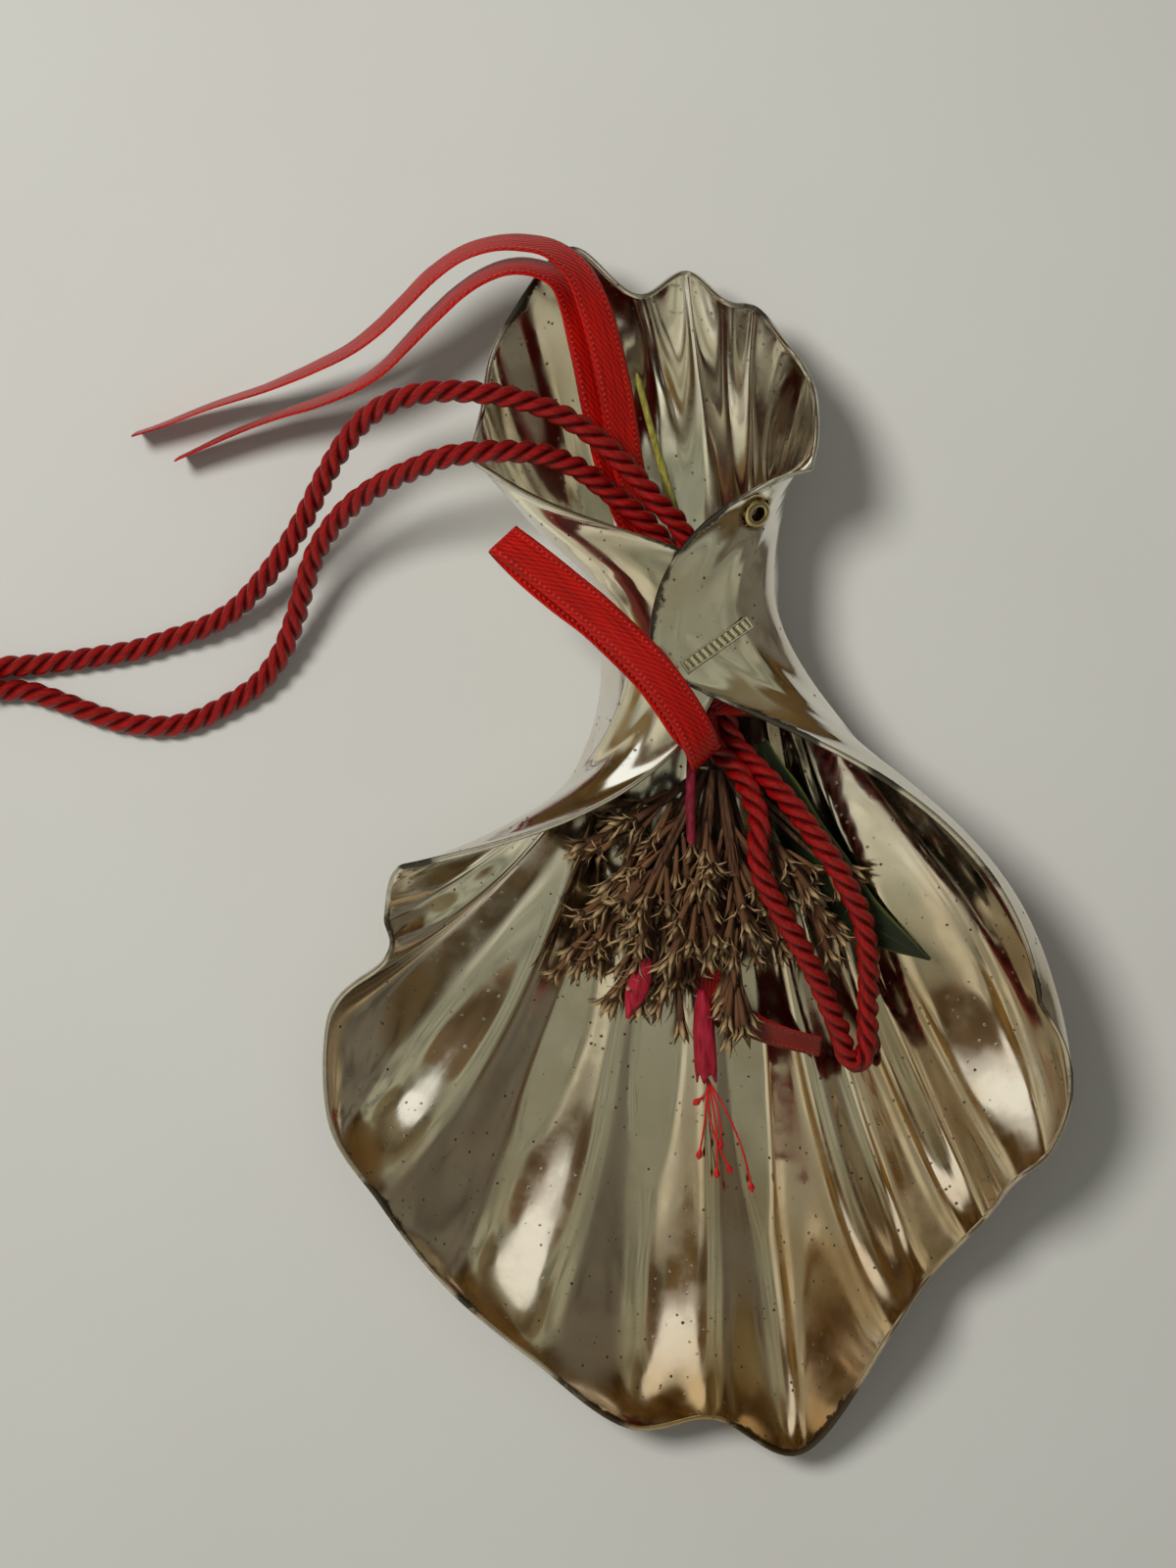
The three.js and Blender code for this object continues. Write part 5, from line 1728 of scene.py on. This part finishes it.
    def _places(
        self, dice: random.Random, neck: Array, tip: Array, radius: float, bare: float, ground: BVHTree
    ) -> tuple:
        """Where the florets of one head stand and where they point.

        Args:
            dice: The seeded random numbers.
            neck: The stem's lower end.
            tip: The head's tip.
            radius: The head's radius.
            bare: The share of the stem without florets.
            ground: The silver sheet, which no floret may enter.

        Returns:
            Their places, ways and kinds.
        """
        way = unit(tip - neck)
        length = float(np.linalg.norm(tip - neck))
        side = unit(np.cross(way, UPWARD))
        over = np.cross(side, way)
        places, ways, kinds = [], [], []
        count = round(self.florets_per_mm * length * (1 - bare) * (0.6 + radius / 3.2))
        for k in range(count):
            share = bare - 0.06 + (0.98 - bare) * ((k + dice.random()) / count) - 0.14
            turn = dice.uniform(0, math.tau)
            lean = math.radians(dice.uniform(8, 22) + 34 * max(0.0, 0.9 - share) * dice.random())
            around = math.cos(turn) * side + math.sin(turn) * over
            place = neck + way * length * share + around * dice.uniform(0.1, 0.42) * radius
            aim = way * math.cos(lean) + around * math.sin(lean)
            for _ in range(5):
                end = place + aim * (self.floret_length + self.lobe_length)
                start = Vector(to_metres(end + self.look_from * UPWARD).tolist())
                hit = ground.ray_cast(start, Vector(-UPWARD))
                floor = hit[0].z / MM if hit[0] is not None else self.no_floor
                if floor > end[2] + 6.0 or end[2] > floor + 0.5:
                    break
                aim = unit(aim + 0.18 * UPWARD)
            places.append(place)
            ways.append(aim)
            kinds.append(dice.choice((0, 0, 1, 1, 2, 3)))
        return np.array(places), np.array(ways), np.array(kinds, float)

    def build(self, trees: Trees, ground: BVHTree) -> None:
        """Make every sprig and the bundle.

        Args:
            trees: The geometry trees.
            ground: The silver sheet.
        """
        look, stem_look = self.finish.make(), self.stem_finish.make()
        kinds = self._kinds()
        self._bundle(trees, stem_look)
        for number, (neck, tip, radius, bare) in enumerate(SPRIGS, 1):
            dice = random.Random(40 + number)
            neck, tip = np.array(neck), np.array(tip)
            places, ways, which = self._places(dice, neck, tip, radius, bare, ground)
            name = f"dried_sprig_{number}_visual"
            head = make_mesh(name, places, [])
            store(head, "way", ways)
            store(head, "kind", which)
            values = {"Florets": kinds, "Seed": number, "Smallest": 0.66, "Largest": 1.12, "Finish": look}
            grow(head, trees.florets, values)
            own = merge(head, self._stems(dice, name + "_stems", neck, tip, trees, stem_look))
            head.data.materials.clear()
            take_place(head, f"dried_sprig_{number}", "dried_flower", look, stem_look)
            count = len(head.data.polygons)
            head.data.polygons.foreach_set("material_index", (np.arange(count) >= own).astype(int))

    def _stems(
        self, dice: random.Random, name: str, neck: Array, tip: Array, trees: Trees, look: Look
    ) -> Piece:
        """Three slim stems that leave the neck together and open into the head.

        Args:
            dice: The seeded random numbers.
            name: The piece's name.
            neck: The stem's lower end.
            tip: The head's tip.
            trees: The geometry trees.
            look: Its material.

        Returns:
            The three stems as one piece.
        """
        lines, radii = [], []
        for _ in range(3):
            t = np.linspace(0, 1, 9)[:, None]
            end = neck + (tip - neck) * dice.uniform(0.7, 0.92)
            drift = np.array([dice.uniform(-1.3, 1.3), dice.uniform(-0.8, 0.8), dice.uniform(-0.2, 1.3)])
            bow = np.array([dice.uniform(-0.8, 0.8), 0.0, dice.uniform(0.0, 0.8)])
            lines.append(neck + (end - neck) * t + drift * t + bow * np.sin(math.pi * t))
            radii.append(self.stem_radius * np.linspace(1.15, 0.6, 9) * dice.uniform(0.8, 1.25))
        stems = skin_lines(name, lines, radii)
        return grow(stems, trees.tubes, {"Sides": 8, "Finish": look})

    def _bundle(self, trees: Trees, look: Look) -> None:
        """The bound stems inside the waist.

        Args:
            trees: The geometry trees.
            look: Its material.
        """
        dice = random.Random(7)
        start, end = np.array(self.bundle_from), np.array(self.bundle_to)
        lines, radii = [], []
        for k in range(self.bundle_stems):
            angle = k * GOLDEN_ANGLE
            reach = (self.bundle_radius - 0.55) * math.sqrt((k + 0.5) / self.bundle_stems)
            t = np.linspace(0, 1, 9)[:, None]
            offset = np.array([reach * math.cos(angle), 0.0, reach * math.sin(angle)])
            wander = np.array([dice.uniform(-0.3, 0.3), dice.uniform(-1.5, 1.5), dice.uniform(-0.3, 0.3)])
            lines.append(start + (end - start) * t + offset + wander * t)
            radii.append(np.full(9, dice.uniform(0.42, 0.6)))
        stems = skin_lines("stem_bundle_visual", lines, radii)
        grow(stems, trees.tubes, {"Sides": 8, "Finish": look})
        take_place(stems, "stem_bundle", "dried_stem")


@dataclass
class GreenAndRedParts:
    """The large leaf, the red tube flower with its filaments, the loose petal and the two plain stems."""

    leaf_route: tuple = (
        (10.2, 16.4, 11.6), (13.2, 9.4, 10.2), (18.4, -0.8, 9.6), (26.2, -11.0, 11.4), (36.2, -17.6, 15.6)
    )
    leaf_way: Spot = (0.62, 0.62, 0.48)
    leaf_half: tuple = (1.0, 3.0, 4.4, 3.8, 0.15)
    petal_route: tuple = ((-7.4, -17.6, 10.0), (-9.3, -22.4, 10.4), (-10.9, -27.2, 10.3))
    petal_way: Spot = (1.0, -0.3, 0.0)
    petal_half: tuple = (0.6, 1.8, 0.3)
    flower_from: Spot = (0.9, -22.6, 9.2)
    flower_to: Spot = (1.8, -36.6, 7.2)
    flower_radius: float = 1.8
    stamen_root: Spot = (1.9, -37.0, 7.1)
    stamen_tips: tuple = (
        (0.5, -50.0, 5.6), (4.0, -48.4, 6.0), (3.4, -53.0, 6.0), (5.8, -52.2, 6.2), (9.1, -55.2, 6.0),
        (-0.4, -41.2, 6.6)
    )
    pink_way: tuple[Spot, Spot] = ((-0.6, 16.2, 13.0), (-1.0, 0.4, 16.8))
    green_way: tuple[Spot, Spot] = ((0.6, 42.4, 7.4), (-9.5, 74.1, 14.6))
    leaf_finish: LeafBlade = LeafBlade()
    flower_finish: PlantSkin = PlantSkin("red_petal_skin", "#7A0A1A", "#A82438", 0.45, 0.55)
    filament_finish: PlantSkin = PlantSkin("red_filament", "#A80E16", "#D02A24", 0.4, 0.4)
    pink_finish: PlantSkin = PlantSkin("plum_stem", "#560E1E", "#8A2636", 0.5, 0.4)
    green_finish: PlantSkin = PlantSkin("yellow_green_stem", "#6E6A26", "#A8A04C", 0.45, 0.4)

    def _blade(
        self, name: str, points: tuple, way: tuple, halves: tuple, thick: float, cup: float, wave: float
    ) -> Piece:
        """A pointed blade along a route.

        Args:
            name: The piece's name.
            points: The route of its middle.
            way: The way across it.
            halves: Its half width at each route point.
            thick: Its thickness.
            cup: How deep its middle sinks, as a share of the half width.
            wave: How far its margin waves, in millimetres.

        Returns:
            The piece with a UV map, -1 to 1 across and 0 to 1 along.
        """
        steps, columns = 56, 17
        line = smooth_route(list(points), steps)
        forward = unit(np.gradient(line, axis=0))
        arrow = squared(np.tile(np.array(way, float), (steps + 1, 1)), forward)
        up = unit(np.cross(arrow, forward))
        rows = [(k / (len(halves) - 1), h) for k, h in enumerate(halves)]
        half = along_rows(rows, np.linspace(0, 1, steps + 1))[:, 0]
        half = np.maximum(half, 0.08)
        side = np.linspace(-1, 1, columns)
        share = np.linspace(0, 1, steps + 1)
        rise = -cup * half[:, None] * (1 - np.abs(side)[None] ** 1.6)
        rise = rise + wave * np.abs(side)[None] ** 2 * np.sin(
            share[:, None] * 21 + 2.0 * np.sign(side)[None]
        )
        middle = line[:, None] + (half[:, None] * side[None])[..., None] * arrow[:, None]
        middle = middle + rise[..., None] * up[:, None]
        thin = (thick / 2 * (1.0 - 0.6 * np.abs(side) ** 4))[None, :, None] * up[:, None]
        piece = make_wall(name, middle + thin, middle - thin)
        store_strip_uv(piece, share, side)
        return piece

    def _flower(self) -> Piece:
        """The red tube flower: ribbed, with a toothed mouth.

        Returns:
            The flower.
        """
        start, end = np.array(self.flower_from), np.array(self.flower_to)
        way = unit(end - start)
        length = float(np.linalg.norm(end - start))
        side = unit(np.cross(way, UPWARD))
        rows = [(0.0, 0.3), (0.12, 0.62), (0.35, 0.88), (0.7, 1.0), (0.92, 0.98), (1.0, 0.92)]
        shares = np.linspace(0, 1, 30)
        wide = along_rows(rows, shares)[:, 0] * self.flower_radius
        angles = np.linspace(0, math.tau, 40, endpoint=False)
        spokes = np.cos(angles)[:, None] * side + np.sin(angles)[:, None] * np.cross(side, way)
        outer = []
        for share, r in zip(shares, wide):
            ahead = share * length + 0.9 * (share > 0.99) * np.cos(5 * angles)
            ribs = 1 + 0.07 * np.cos(5 * angles) * share
            outer.append(start + ahead[:, None] * way + (r * ribs)[:, None] * spokes)
        inner = np.concatenate([ring - 0.28 * spokes for ring in outer])
        count = len(angles)
        half, last = len(inner), len(inner) - count
        points = np.concatenate([*outer, inner, [start, start + 0.4 * way]])
        faces = ring_faces(len(outer), count)
        faces += other_side(faces, half)
        for j, n in ((j, (j + 1) % count) for j in range(count)):
            faces.append((last + j, last + n, half + last + n, half + last + j))
            faces += [(2 * half, n, j), (2 * half + 1, half + j, half + n)]
        piece = make_mesh("red_flower_visual", points, faces)
        point_outwards(piece)
        return piece

    def _stamens(self, trees: Trees, look: Look) -> Piece:
        """The filaments that hang from the flower, each with its small head.

        Args:
            trees: The geometry trees.
            look: Its material.

        Returns:
            The filaments.
        """
        dice = random.Random(5)
        root = np.array(self.stamen_root)
        lines, radii = [], []
        for tip in self.stamen_tips:
            end = np.array(tip, float)
            t = np.linspace(0, 1, 24)
            bow = np.array([dice.uniform(-1.3, 1.3), 0.0, dice.uniform(-0.2, 0.5)])
            line = root + (end - root) * t[:, None] + bow * np.sin(math.pi * t)[:, None]
            length = run_length(line)
            left = length[-1] - length
            head = np.exp(-(((left - 0.75) / 0.55) ** 2))
            lines.append(line)
            radii.append(0.17 + 0.42 * head - 0.08 * (left < 0.1))
        piece = skin_lines("stamens_visual", lines, radii)
        return grow(piece, trees.tubes, {"Sides": 9, "Finish": look})

    def _stem(self, name: str, ends: tuple, radii: tuple, bow: float, trees: Trees, look: Look) -> Piece:
        """A slightly bowed plain stem with a node half way.

        Args:
            name: The piece's name.
            ends: Where it starts and ends.
            radii: Its radius at both ends.
            bow: How far its middle stands aside.
            trees: The geometry trees.
            look: Its material.

        Returns:
            The stem.
        """
        a, b = np.array(ends)
        t = np.linspace(0, 1, 30)
        side = unit(np.cross(b - a, UPWARD))
        line = a + (b - a) * t[:, None] + bow * np.sin(math.pi * t)[:, None] * side
        node = 0.16 * np.exp(-(((t - 0.55) / 0.03) ** 2))
        width = np.linspace(radii[0], radii[1], 30) + node
        width[-1] *= 0.4
        piece = skin_lines(name, [line], [width])
        return grow(piece, trees.tubes, {"Sides": 14, "Finish": look})

    def build(self, trees: Trees) -> None:
        """Make all these pieces.

        Args:
            trees: The geometry trees.
        """
        leaf = self._blade(
            "large_leaf_visual", self.leaf_route, self.leaf_way, self.leaf_half, 0.35, 0.16, 0.22
        )
        petal = self._blade(
            "red_petal_visual", self.petal_route, self.petal_way, self.petal_half, 0.3, 0.35, 0.12
        )
        flower = self._flower()
        tubes = self._stamens(trees, self.filament_finish.make())
        pink = self._stem(
            "pink_stem_visual", self.pink_way, (0.85, 0.7), 0.25, trees, self.pink_finish.make()
        )
        green = self._stem(
            "green_stem_visual", self.green_way, (0.72, 0.5), -0.5, trees, self.green_finish.make()
        )
        red = self.flower_finish.make()
        for piece, node, slot, looks in (
            (leaf, "large_leaf", "leaf", [self.leaf_finish.make()]),
            (petal, "red_petal", "red_flower", [red]), (flower, "red_flower", "red_flower", [red]),
            (tubes, "stamens", "red_flower", []), (pink, "pink_stem", "red_flower", []),
            (green, "green_stem", "green_stem", [])
        ):
            take_place(piece, node, slot, *looks)


# ---------------------------------------------------------------- table, light and camera


@dataclass(frozen=True)
class SkyPatch:
    """One soft patch of the room that the silver mirrors."""

    turn: float
    rise: float
    reach: float
    soft: float
    colour: str
    strength: float = 1.0


@dataclass(frozen=True)
class Lamp:
    """One soft lamp: its name, place, size in metres and power in watts."""

    name: str
    place: Spot
    size: float
    power: float


@dataclass
class Studio:
    """The pale table, the soft window light and the camera over the charm."""

    camera_at: Spot = (-0.0162, 0.01075, 0.480)
    lens_mm: float = 68.3
    sensor_mm: float = 36.0
    table_size: float = 2.6
    table_gap: float = 0.00002
    lamps: tuple[Lamp, ...] = (
        Lamp("window", (-0.34, 0.22, 0.70), 0.24, 4.9), Lamp("ceiling", (0.05, 0.03, 0.40), 0.4, 0.14)
    )
    room: str = "#A2A18A"
    wood_dark: str = "#2E2010"
    wood_light: str = "#7A5E34"
    light: str = "#F4F4F0"
    backdrop: str = "#D8D5CE"
    room_light: float = 0.16
    wall_top: float = 36.0
    furniture: tuple[SkyPatch, ...] = (
        SkyPatch(-90, 14, 54, 12, "#DAD5BE"), SkyPatch(-8, 14, 36, 8, "#716A5C"),
        SkyPatch(180, 10, 26, 8, "#CCC3A6"), SkyPatch(-45, 46, 11, 13, "#5A4A30"),
        SkyPatch(76, 50, 11, 4, "#786C50"), SkyPatch(140, 66, 10, 3, "#6E5A40"),
        SkyPatch(172, 42, 15, 4, "#80663A"), SkyPatch(-168, 64, 11, 3, "#D2CCB2")
    )
    panes: tuple[SkyPatch, ...] = (
        SkyPatch(-80, 40, 3.5, 1.5, "#F6F4EA", 1.1), SkyPatch(-120, 44, 3, 1.5, "#F6F4EA", 1.1),
        SkyPatch(-60, 34, 3.5, 1.5, "#F6F4EA", 1.1), SkyPatch(104, 46, 7, 2.5, "#F4F5EF", 1.25),
        SkyPatch(118, 47, 8, 2.5, "#F4F5EF", 1.25), SkyPatch(133, 48, 8, 2.5, "#F4F5EF", 1.25),
        SkyPatch(148, 48, 7.5, 2.5, "#F4F5EF", 1.25)
    )
    finish: PaleTable = PaleTable()

    def camera(self) -> None:
        """Put the camera straight above the charm, a little left of its middle."""
        lens = bpy.data.cameras.new("over_table")
        lens.lens = self.lens_mm
        lens.sensor_width = self.sensor_mm
        lens.clip_start = 0.01
        lens.clip_end = 20.0
        holder = new_piece("over_table", lens)
        holder.location = self.camera_at
        bpy.context.scene.camera = holder

    def table(self) -> None:
        """Lay the table top just under the part's feet."""
        half = self.table_size / 2
        corners = np.array([(-half, -half), (half, -half), (half, half), (-half, half)])
        points = np.concatenate([corners, np.full((4, 1), -self.table_gap)], 1)
        top = make_mesh("table_top", points, [(0, 1, 2, 3)], metres=True)
        top.data.materials.append(self.finish.make())

    def hang_lamps(self) -> None:
        """Hang the soft lamps and aim them at the charm. The silver mirrors the room in their place."""
        for lamp in self.lamps:
            light = bpy.data.lights.new(lamp.name, "AREA")
            light.shape = "DISK"
            light.size = lamp.size
            light.energy = lamp.power
            light.color = (1.0, 1.0, 0.985)
            holder = new_piece(lamp.name, light)
            holder.location = lamp.place
            holder.rotation_euler = (-Vector(lamp.place)).to_track_quat("-Z", "Y").to_euler()
            holder.visible_glossy = False

    @staticmethod
    def _patches(add: Callable, heading: Socket, under: Socket, patches: tuple[SkyPatch, ...]) -> Socket:
        """Lay round soft patches of colour over what the silver mirrors.

        Args:
            add: Adds a node to the world's tree.
            heading: The way a ray leaves.
            under: The colour below the patches.
            patches: The patches, the last one on top.

        Returns:
            The colour with the patches on it.
        """
        for patch in patches:
            turn, rise = math.radians(patch.turn), math.radians(patch.rise)
            aim = (math.cos(rise) * math.cos(turn), math.cos(rise) * math.sin(turn), math.sin(rise))
            outside, inside = (math.cos(math.radians(patch.reach + soft)) for soft in (patch.soft, 0))
            share = add(EASE, add(DOT, heading, aim), outside, inside)
            strong = tuple(c * patch.strength for c in linear(patch.colour)[:3]) + (1.0,)
            under = add(MIX, share, under, strong)
        return under

    def room_around(self) -> None:
        """Light the room: even for plain surfaces, patchy for what the silver mirrors."""
        world = bpy.data.worlds.new("room")
        bpy.context.scene.world = world
        world.use_nodes = True
        world.node_tree.nodes.clear()
        add = partial(add_node, world.node_tree)
        way = add(Kind("ShaderNodeTexCoord", output="Generated"))
        heading = add(VECTOR, way, operation="NORMALIZE")
        blotch = add(NOISE, heading, 1.7, 2.0, 0.5, 0.6)
        wood = add(MIX, blotch, self.wood_dark, self.wood_light)
        rise = add(SPLIT, heading).node.outputs[2]
        low, high = (math.sin(math.radians(self.wall_top + more)) for more in (0, 2.5))
        mirrored = add(MIX, add(RANGE, rise, low, high, 1, 0), self.room, wood)
        mirrored = self._patches(add, heading, mirrored, self.furniture)
        clutter = add(NOISE, heading, 4.2, 2.5, 0.5, 0.8)
        mirrored = add(SCALE, mirrored, add(EASE, clutter, 0.36, 0.6, 0.55, 1.1))
        mirrored = self._patches(add, heading, mirrored, self.panes)
        rays = add("ShaderNodeLightPath").node.outputs
        even = add(GLOW, self.light, self.room_light)
        first = add(CHOOSE, rays["Is Glossy Ray"], even, add(GLOW, mirrored, 1.0))
        last = add(CHOOSE, rays["Is Camera Ray"], first, add(GLOW, self.backdrop, 1.0))
        add("ShaderNodeOutputWorld", last)


def main() -> None:
    """Build the charm piece by piece, then light it."""
    logging.basicConfig(level=logging.INFO, format="%(name)s: %(message)s")
    bpy.context.scene.view_settings.view_transform = "Standard"
    studio = Studio()
    studio.camera()
    trees = Trees()
    LaidCord().build(trees)
    SatinRibbon().build()
    sheet = SilverSheet()
    shell = sheet.build()
    Eyelet().build(sheet)
    MarkBar().build(sheet)
    points = [v.co for v in shell.data.vertices]
    ground = BVHTree.FromPolygons(points, [tuple(p.vertices) for p in shell.data.polygons])
    DriedSprigs().build(trees, ground)
    GreenAndRedParts().build(trees)
    log.info("all pieces made")
    studio.table()
    studio.hang_lamps()
    studio.room_around()


if __name__ == "__main__":
    main()
